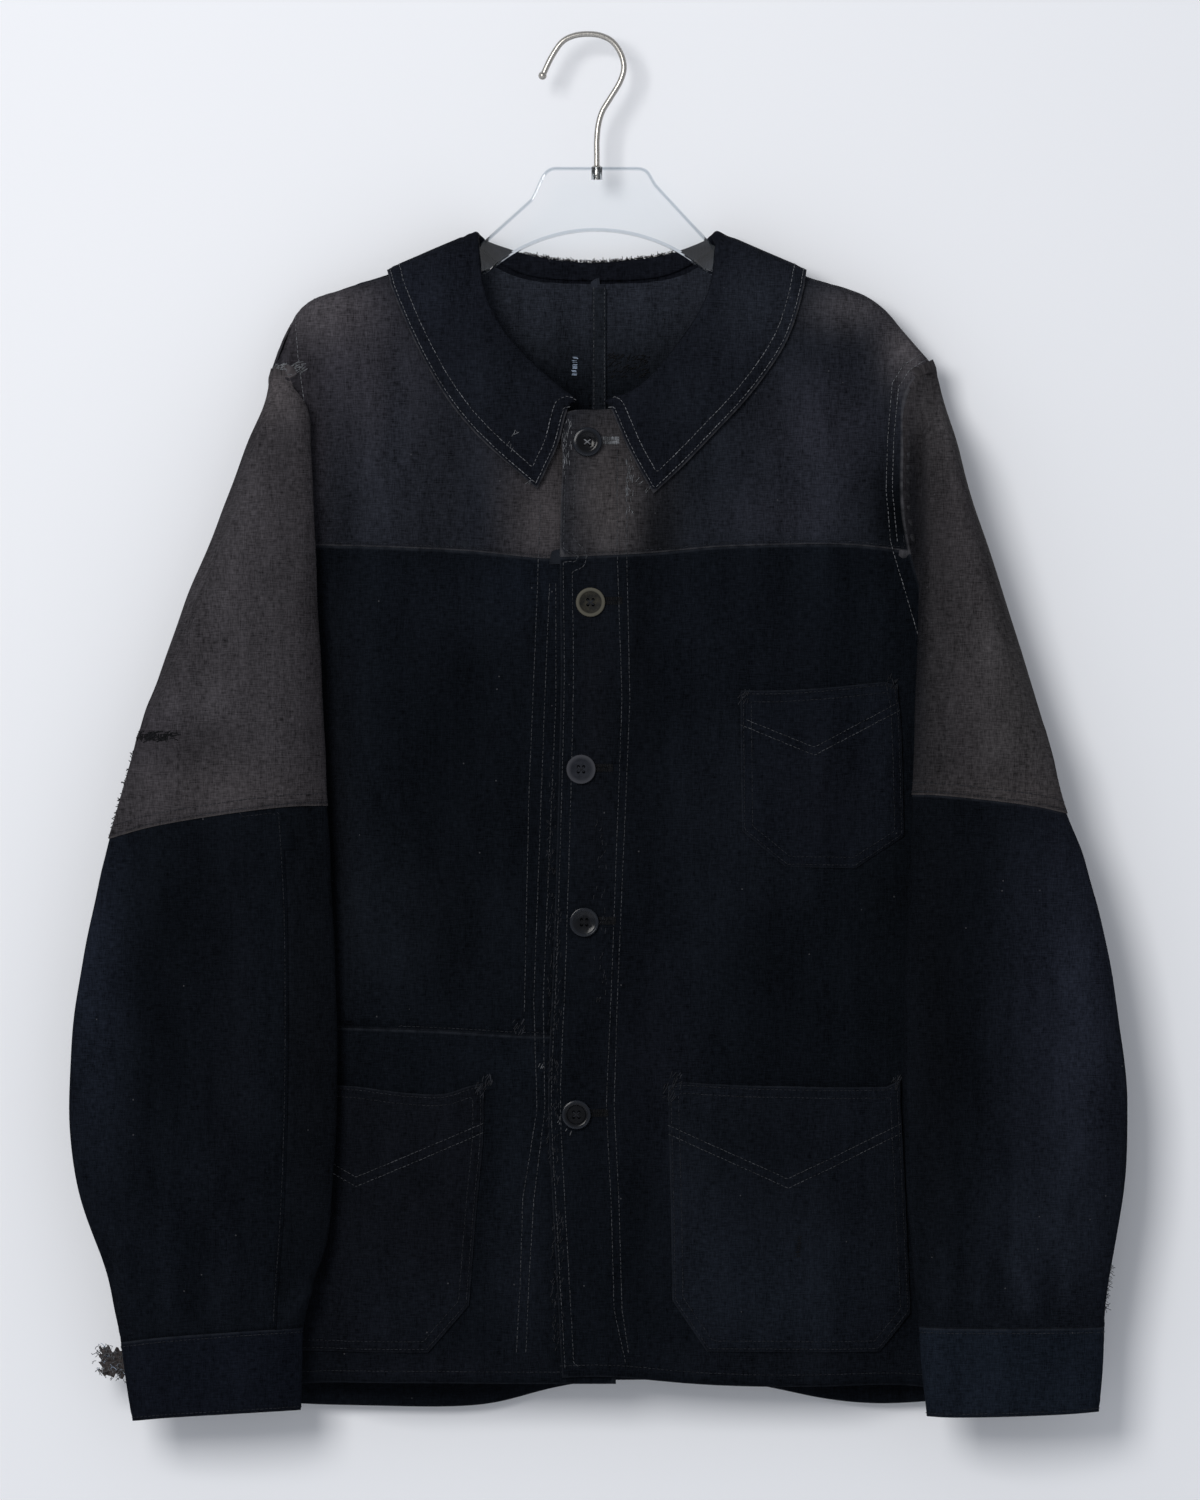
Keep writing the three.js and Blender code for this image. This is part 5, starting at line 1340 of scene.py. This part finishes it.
# %% Neck fray, shoulder ridge, sleeve darn and torn cuff
NECK_FOLD = np.array([[-40, -136], [-20, -141], [0, -143], [24, -142.5], [54, -136]], float)
NECK_DEPTH = 13.5 * MM
neck_fray = []
for _ in range(760):
    x = draw.uniform(NECK_FOLD[0, 0], NECK_FOLD[-1, 0])
    z = np.interp(x, *NECK_FOLD.T) + 1.5
    place = surfaces["collar"]["tree"].find_nearest(Vector((x * MM, NECK_DEPTH, z * MM)))[0]
    root = np.array(place) + draw.normal(0, 0.5, 3) * MM
    neck_fray.append(fray(root, (draw.normal(0, 0.5), -0.5, 1.0), draw.uniform(0.8, 2.8) * MM, 0.6))

SHOULDER_RIDGE = [(-202, -213), (-196, -212), (-190, -213), (-184, -211)]
shoulder_mend = darns(SHOULDER_RIDGE, (8, 6), 22, ["front_right_upper", "sleeve_right_upper"], 4.5, 20)
sleeve_darn = darn((-272, -446), (26, 6), 56, ["sleeve_right_upper"], 4.5, 10)
sleeve_slash = bars([[-286, -447], [-264, -446]], 34, 3.4, ["sleeve_right_upper"], 0.8)
sleeve_frays = frays_from(
    "sleeve_right_upper", 60, (-505, -455), lambda z: np.interp(z, [-511, -490, -443], [-303, -298, -286]), -25,
    run=-1, droop=(-0.3, 0.6), lengths=(1, 3.6),
)
cuff_fray = []
under = surfaces["cuff_right_underlay"]["points"]
for _ in range(330):
    root = under[draw.integers(len(under))] + draw.normal(0, 0.8, 3) * MM
    run = (-1.0, draw.normal(0, 0.4), draw.normal(-0.6, 0.7))
    cuff_fray.append(fray(root, run, draw.uniform(2, 7) * MM, 0.7, 5))
BLUE_SHARE = 60  # how many of the cuff's threads are blue-white
notch_fray = frays_from(
    "sleeve_left_lower", 46, (-810, -780), lambda z: 332, -28,
    run=0.8, droop=(-0.2, 0.7), lengths=(1.5, 4.5), curl=0.6,
)

# %% Inside of the back, placket and pocket corners
inside_darn = darn((26, -209), (28, 15), 90, ["back_left_upper"], 2.6, 30, INSIDE_LIFT)
neck_bar = bars([[-7.5, -203], [-8.5, -216]], 12, 3.0, ["back_right_upper"], 0.35, INSIDE_LIFT + 0.3)
placket_mend = []
for x, z, wide, tall, count in (
    (-21, -590, 9, 90, 80), (-22, -690, 8, 80, 70), (-19, -790, 8, 90, 90), (-23, -500, 6, 70, 36),
    (8, -560, 8, 120, 36),
):
    placket_mend += darn((x, z), (wide, tall), count, BODY, 3.0, 80)
CORNERS = [(-68, -670), (-64, -664), (56, -664), (52, -672), (197, -666), (194, -412), (99, -420), (-44, -631)]
corner_mend = darns(CORNERS, (7, 9), 13, BODY + POCKETS, 4, 70)
pocket_tear = bars([[135, -763], [133.5, -777]], 12, 2.4, ["pocket_lower_left"], 0.3)
SPECKS = [(-47, -254), (-49, -262), (-38, -286), (38, -290), (33, -284), (-19, -690), (-12, -697), (-30, -655)]
specks = darns(SPECKS, (4, 4), 3, ["collar"] + BODY, 3.0, 60)
placket_top = darn((-13, -262), (6, 34), 40, LEFT_BODY, 3.2, 90) + darn((27, -285), (5, 40), 34, LEFT_BODY, 3.4, 90)

mends = grow_threads([
    ("neck_fray", neck_fray, FADED, BLACK_THREAD, 0.2),
    ("shoulder_mend", shoulder_mend, FADED, PALE_THREAD, 0.24),
    ("sleeve_darn", sleeve_darn, BROWN, BLACK_THREAD, 0.26),
    ("sleeve_slash", sleeve_slash + sleeve_frays, BROWN, BLACK_THREAD, 0.28),
    ("cuff_fray", cuff_fray[:-BLUE_SHARE], BROWN, PALE_THREAD, 0.22),
    ("cuff_fray_blue", cuff_fray[-BLUE_SHARE:], BROWN, BLUE_THREAD, 0.2),
    ("notch_fray", notch_fray, DARK, DARK_THREAD, 0.16),
    ("inside_darn", inside_darn, FADED, BLACK_THREAD, 0.26),
    ("neck_bar", neck_bar, FADED, BLUE_THREAD, 0.24),
    ("placket_mend", placket_mend, DARK, DARK_THREAD, 0.24),
    ("corner_mend", corner_mend, DARK, DARK_THREAD, 0.26),
    ("pocket_tear", pocket_tear, DARK, BLACK_THREAD, 0.26),
    ("pale_specks", specks + placket_top, FADED, PALE_THREAD, 0.2),
])
print("mends:", {m.name: len(m.data.polygons) for m in mends})

# %% [markdown]
# ## Buttons
# Five buttons of four kinds, as a mended jacket collects them. Each is a turned disc with four holes: a profile
# spun round its axis, and the holes cut out. Its thread crosses through the holes. Beside each is a worked
# buttonhole, a slit between two rows of close stitches.


# %% Button finishes
def plastic_material(name, ground, mottle, rim_tone, roughness, gloss):
    """A moulded or horn button: mottled tone, a lighter tone at the rim and fine scratches in the gloss."""
    material, tree, shader = new_material(name)
    place = node(tree, "ShaderNodeTexCoord").outputs["Object"]
    cloud = noise(tree, place, 220.0, 5.0, 0.65)
    share = math_node(tree, "MULTIPLY", math_node(tree, "SUBTRACT", cloud, 0.42), 4.0, clamp=True)
    mottled = mix_colour(tree, share, opaque(ground), opaque(mottle))
    scratch = math_node(tree, "MULTIPLY", noise(tree, place, 900.0), 0.25)
    set_inputs(tree, shader, {
        "Base Color": mix_colour(tree, attribute(tree, "rim"), mottled, opaque(rim_tone)),
        "Roughness": math_node(tree, "ADD", scratch, roughness - 0.12),
        "Normal": bump(tree, cloud, 0.25, 0.0002),
        "Specular IOR Level": gloss,
    })
    return material


BUTTON_FINISHES = {
    name: plastic_material(name, *look)
    for name, look in {
        "black_button": ((4, 5, 8), (10, 11, 15), (26, 29, 35), 0.15, 0.16),
        "olive_button": ((28, 28, 27), (48, 46, 40), (78, 76, 68), 0.5, 0.05),
        "grey_button": ((34, 36, 42), (24, 26, 31), (56, 57, 62), 0.5, 0.05),
    }.items()
}

# %% Buttons and their threads
RADIUS = 9.3  # all button sizes in millimetres
PROFILES = {
    "domed": [
        [0, 0], [8.4, 0], [9.1, 0.4], [RADIUS, 1.2], [RADIUS, 2], [8.9, 2.7], [8.2, 3], [6.2, 3.05], [5.2, 2.8],
        [4.4, 2.3], [0, 2.2],
    ],
    "rimmed": [
        [0, 0], [8.2, 0], [9, 0.5], [RADIUS, 1.2], [RADIUS, 2], [9, 2.6], [8.4, 2.8], [7.4, 2.8], [6.8, 2.4],
        [6.3, 2.1], [0, 1.9],
    ],
    "flat": [[0, 0], [8.6, 0], [9.1, 0.4], [RADIUS, 1], [RADIUS, 1.8], [9, 2.3], [8.4, 2.4], [6.2, 2.1], [0, 1.9]],
    "thin": [
        [0, 0], [8.4, 0], [9, 0.4], [RADIUS, 1], [RADIUS, 1.9], [9, 2.4], [8.5, 2.55], [8, 2.45], [7.5, 2],
        [7.1, 1.8], [0, 1.6],
    ],
    "ringed": [
        [0, 0], [8.2, 0], [9, 0.5], [RADIUS, 1.2], [RADIUS, 2.5], [8.9, 3.1], [8.2, 3.3], [7, 3.3], [6.2, 2.8],
        [5.6, 1.9], [0, 1.7],
    ],
}
BUTTONS = [
    ("button_1", "domed", "black_button", PALE_THREAD),
    ("button_2", "rimmed", "olive_button", DARK_THREAD),
    ("button_3", "flat", "grey_button", DARK_THREAD),
    ("button_4", "thin", "black_button", BLACK_THREAD),
    ("button_5", "ringed", "black_button", DARK_THREAD),
]
HOLE_SPACING = 1.7  # from the middle to each hole, sideways and upwards
RIM_FROM, RIM_FADE = 6.9, 0.6
SIDES = 56
STRANDS = (-0.35, 0.0, 0.35)  # how far apart the strands of one stitch lie
SLIT = (7, 19)  # where a buttonhole begins and ends, from the button's middle
SLIT_HALF = 1.3
BAR_HALF = 2.2


def turned(name, profile, sides=SIDES):
    """A closed solid from a profile of [radius, height] points, its axis along -Y."""
    rings = [[radius, height] for radius, height in profile if radius > 0]
    verts, faces = [], []
    for radius, height in rings:
        for k in range(sides):
            angle = 2 * math.pi * k / sides
            verts.append((radius * math.cos(angle) * MM, -height * MM, radius * math.sin(angle) * MM))
    for i in range(len(rings) - 1):
        for k in range(sides):
            a, b = i * sides + k, i * sides + (k + 1) % sides
            faces.append((a, b, b + sides, a + sides))
    faces.append(tuple(range(sides))[::-1])
    last = (len(rings) - 1) * sides
    faces.append(tuple(range(last, last + sides)))
    made = mesh_object(name, verts, faces)
    recalculate(made)
    return made


def recalculate(obj):
    """Turns all faces of a closed mesh outwards."""
    with editing(obj.data) as bm:
        bmesh.ops.recalc_face_normals(bm, faces=bm.faces[:])


def cut_away(obj, tool):
    """Cuts one mesh out of another and removes it."""
    cut = obj.modifiers.new("cut", "BOOLEAN")
    cut.object = tool
    cut.operation = "DIFFERENCE"
    cut.solver = "EXACT"
    obj.data = evaluated_mesh(obj)
    obj.modifiers.clear()
    bpy.data.objects.remove(tool)


def shift(obj, offset):
    """Moves a mesh, with its object staying at the origin."""
    for v in obj.data.vertices:
        v.co += offset
    obj.data.update()


def smooth_by_angle(obj, degrees=35):
    """Smooth shading, with sharp edges where the surface turns by more than this."""
    obj.data.shade_smooth()
    with editing(obj.data) as bm:
        for e in bm.edges:
            e.smooth = len(e.link_faces) == 2 and e.calc_face_angle(0) < math.radians(degrees)


def four_holes():
    """The tool that cuts a button's holes."""
    verts, faces = [], []
    for dx in (-HOLE_SPACING, HOLE_SPACING):
        for dz in (-HOLE_SPACING, HOLE_SPACING):
            hole = turned("hole", [[0, -2], [1.0, -2], [1.0, 6], [0, 6]], 20)
            shift(hole, Vector((dx * MM, 0, dz * MM)))
            faces += [tuple(len(verts) + i for i in p.vertices) for p in hole.data.polygons]
            verts += [tuple(v.co) for v in hole.data.vertices]
            bpy.data.objects.remove(hole)
    return mesh_object("holes", verts, faces)


button_threads = []
buttonholes = []
for name, profile, finish, thread in BUTTONS:
    near_corner, far_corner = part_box(name)
    centre = (near_corner + far_corner) / 2
    base = Vector((centre.x, far_corner.y, centre.z))
    button = turned(name + "_disc", PROFILES[profile])
    cut_away(button, four_holes())
    from_axis = np.hypot(*coordinates(button.data)[:, [0, 2]].T) / MM
    add_attribute(button.data, "rim", np.clip((from_axis - RIM_FROM) / RIM_FADE, 0, 1))
    shift(button, base)
    smooth_by_angle(button)
    declare(button, BUTTON_FINISHES[finish], name)
    face_y = -PROFILES[profile][-1][1]
    for sign in (-1, 1):
        for strand_at in STRANDS:
            ends = [
                (end * HOLE_SPACING + strand_at, face_y + y, end * sign * HOLE_SPACING * slant)
                for end, y, slant in ((-1, 0.6, 1), (-1, -0.35, 0.75), (1, -0.35, 0.75), (1, 0.6, 1))
            ]
            points = [np.array(base) + np.array(place) * MM for place in ends]
            button_threads.append((thread, (points, [(0, 1), (1, 2), (2, 3)])))
    slit_from, slit_to = (centre.x / MM + reach for reach in SLIT)
    level = centre.z / MM + 1
    for side_z in (-SLIT_HALF, SLIT_HALF):
        buttonholes += bars([[slit_from, level + side_z], [slit_to, level + side_z]], 22, 2.2, LEFT_BODY, 0.12)
    buttonholes += bars([[slit_to, level - BAR_HALF], [slit_to, level + BAR_HALF]], 7, 2.4, LEFT_BODY, 0.12)

top_hole = len(buttonholes) // len(BUTTONS)
thread_work = [
    ("button_" + owner.name, [line for thread, line in button_threads if thread is owner], FADED, owner, 0.22)
    for owner in (PALE_THREAD, DARK_THREAD, BLACK_THREAD)
]
grow_threads([
    *thread_work,
    ("buttonhole_top", buttonholes[:top_hole], FADED, PALE_THREAD, 0.26),
    ("buttonholes", buttonholes[top_hole:], DARK, BLACK_THREAD, 0.28),
])
print("buttons:", len(BUTTONS), "with", len(button_threads), "strands")

# %% [markdown]
# ## Hanger
# The plate is one clear acrylic slab with polished, slightly rounded edges, and the hook is bent from satin steel
# wire with a small ball on its end. The wire is a curve with a round bevel, turned into a mesh. The slab is its
# outline, extruded, with bevelled edges that catch the light.

# %% Steel and acrylic
steel, steel_tree, shader = new_material("hook_steel")
place = node(steel_tree, "ShaderNodeTexCoord").outputs["Object"]
brushed = noise(steel_tree, place, 700.0, 3.0)
set_inputs(steel_tree, shader, {
    "Base Color": mix_colour(steel_tree, brushed, opaque((150, 147, 142)), opaque((186, 183, 178))),
    "Metallic": 1.0,
    "Roughness": math_node(steel_tree, "ADD", math_node(steel_tree, "MULTIPLY", brushed, 0.16), 0.2),
    "Normal": bump(steel_tree, brushed, 0.12, 0.0001),
})

# the grey on the bevel faces is painted shade, standing in for the dark lines of the cut edges
CLEAR, CUT_EDGE_SHADE = (0.985, 0.99, 0.995, 1), (0.50, 0.55, 0.60, 1)
acrylic, acrylic_tree, shader = new_material("clear_acrylic")
place = node(acrylic_tree, "ShaderNodeTexCoord").outputs["Object"]
scratches = math_node(acrylic_tree, "SUBTRACT", noise(acrylic_tree, place, 90.0, 6.0), 0.45)
polish = math_node(acrylic_tree, "MULTIPLY", scratches, 0.12, clamp=True)
set_inputs(acrylic_tree, shader, {
    "Base Color": mix_colour(acrylic_tree, attribute(acrylic_tree, "rim"), CLEAR, CUT_EDGE_SHADE),
    "Transmission Weight": 1.0,
    "IOR": 1.49,
    "Roughness": math_node(acrylic_tree, "ADD", polish, 0.01),
})
let_light_pass(acrylic_tree, shader, tint=(0.97, 0.98, 0.985, 1))

# %% Hook and ferrule
WIRE = 1.9
HOOK_POINTS = [
    [-28, -23.5], [-23, -13], [-16.5, -3.5], [-9, 0.7], [0, WIRE], [8.5, 0.9], [16, -3], [21.5, -11], [23.3, -20],
    [20.6, -29], [14.6, -39], [9.5, -47.5], [7, -56], [6, -66], [6, -76], [6, -91],
]


def smooth_line(points, per_step=10):
    """Points of a Catmull-Rom curve through a few [x, z] points."""
    points = np.array([points[0], *points, points[-1]], float)
    made = []
    for i in range(1, len(points) - 2):
        a, b, c, d = points[i - 1 : i + 3]
        for k in range(per_step):
            t = k / per_step
            bent = (2 * a - 5 * b + 4 * c - d) * t**2 + (3 * b - a - 3 * c + d) * t**3
            made.append(0.5 * (2 * b + (c - a) * t + bent))
    return [*made, points[-2]]


def wire_mesh(name, points, radius):
    """A round wire along points in space, as a mesh with closed ends."""
    curve = bpy.data.curves.new(name, "CURVE")
    curve.dimensions = "3D"
    curve.bevel_depth = radius
    curve.bevel_resolution = 5
    curve.use_fill_caps = True
    spline = curve.splines.new("POLY")
    spline.points.add(len(points) - 1)
    for point, at in zip(spline.points, points):
        point.co = (*at, 1)
    obj = placed(name + "_curve", curve)
    mesh = evaluated_mesh(obj)
    bpy.data.objects.remove(obj)
    return placed(name, mesh)


def upright(name, profile, foot):
    """A turned solid whose axis stands up from a foot point."""
    made = turned(name, profile, 40)
    for v in made.data.vertices:
        v.co = Vector((v.co.x, v.co.z, -v.co.y))
    recalculate(made)
    shift(made, foot)
    return made


hook = wire_mesh("hook_wire", [(x * MM, 0, z * MM) for x, z in smooth_line(HOOK_POINTS)], WIRE * MM)
BALL, BALL_PLACE = 2.7, Vector((-28.6, 0, -24.6))
ball_turns = [[BALL * math.cos(a), BALL * math.sin(a)] for a in np.linspace(-1.45, 1.45, 16)]
ball = turned("hook_ball", [[0, -BALL], *ball_turns], 32)
shift(ball, BALL_PLACE * MM)
low_ring, high_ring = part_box("hook_ferrule")
ring_foot = Vector(((low_ring.x + high_ring.x) / 2, 0, low_ring.z))
ring_radius = (high_ring.x - low_ring.x) / 2 / MM
ring_length = (high_ring.z - low_ring.z) / MM
FERRULE = [
    [WIRE + 0.1, 0], [ring_radius - 0.3, 0], [ring_radius, 0.3], [ring_radius, ring_length - 1],
    [WIRE + 0.3, ring_length],
]
ferrule = upright("ferrule", FERRULE, ring_foot)
for obj, replaced in ((hook, "hook"), (ball, None), (ferrule, "hook_ferrule")):
    smooth_by_angle(obj, 50)
    declare(obj, steel, replaced)

# %% Plate
PLATE_TOP = -83
PLATE_THICKNESS = 10
PLATE_BEVEL = 1.9


def bend(a, b, c, d, steps=14):
    """Points of a Bezier curve between a and d, without a."""
    a, b, c, d = (np.array(p, float) for p in (a, b, c, d))
    shares = np.linspace(0, 1, steps + 1)[1:]
    return [(1 - t) ** 3 * a + 3 * (1 - t) ** 2 * t * b + 3 * (1 - t) * t**2 * c + t**3 * d for t in shares]


outline = [
    [-21, PLATE_TOP], *bend([-21, PLATE_TOP], [-31, PLATE_TOP - 1], [-31, -97], [-37, -104]),
    [-69, -133], [-177, -179],
    *bend([-177, -179], [-183, -181], [-181, -194], [-174, -193]), [-62, -149],
    *bend([-62, -149], [-44, -134], [-20, -124], [5, -124]), *bend([5, -124], [32, -124], [56, -134], [74, -149]),
    [181, -193.5], *bend([181, -193.5], [188, -194.5], [190, -181.5], [184, -178]), [80, -133], [44, -94],
    *bend([44, -94], [40, -88], [40, PLATE_TOP], [31, PLATE_TOP], 8),
]
plate_mesh = bpy.data.meshes.new("plate")
with editing(plate_mesh) as bm:
    face = bm.faces.new([bm.verts.new((x * MM, -PLATE_THICKNESS / 2 * MM, z * MM)) for x, z in outline])
    pushed = bmesh.ops.extrude_face_region(bm, geom=[face])["geom"]
    for v in pushed:
        if isinstance(v, bmesh.types.BMVert):
            v.co.y += PLATE_THICKNESS * MM
    bmesh.ops.recalc_face_normals(bm, faces=bm.faces[:])
    rims = [e for e in bm.edges if abs(e.verts[0].co.y - e.verts[1].co.y) < 1e-6]
    bmesh.ops.bevel(bm, geom=rims, offset=PLATE_BEVEL * MM, segments=3, profile=0.5, affect="EDGES")
plate = placed("plate", plate_mesh)
SOCKET_GAP = 0.3
socket_radius = ring_radius + SOCKET_GAP
socket = upright(
    "socket", [[0, 0], [socket_radius, 0], [socket_radius, 40], [0, 40]], ring_foot - Vector((0, 0, SOCKET_GAP * MM))
)
cut_away(plate, socket)
smooth_by_angle(plate, 10)
on_rim = [0.0 if abs(p.normal.y) > 0.98 else 1.0 for p in plate.data.polygons]
add_attribute(plate.data, "rim", on_rim, domain="FACE")
declare(plate, acrylic, "hanger_plate")
print("hanger:", len(hook.data.polygons), "faces on the hook,", len(plate.data.polygons), "on the plate")

# %% [markdown]
# ## What each piece was cut from
# Every piece of cloth is listed in `PIECES` with the flat size that it was cut to, without seam allowance: its width,
# its length and, since none is a plain rectangle, its area. A sleeve's or a cuff's width is all round. The table also
# names what each piece hangs from: the upper pieces from the plate, and the others from the pieces above them. Here
# only their number is printed.

# %% Sheets
print("sheets:", len(PIECES))

# %% The end
bpy.context.view_layer.update()
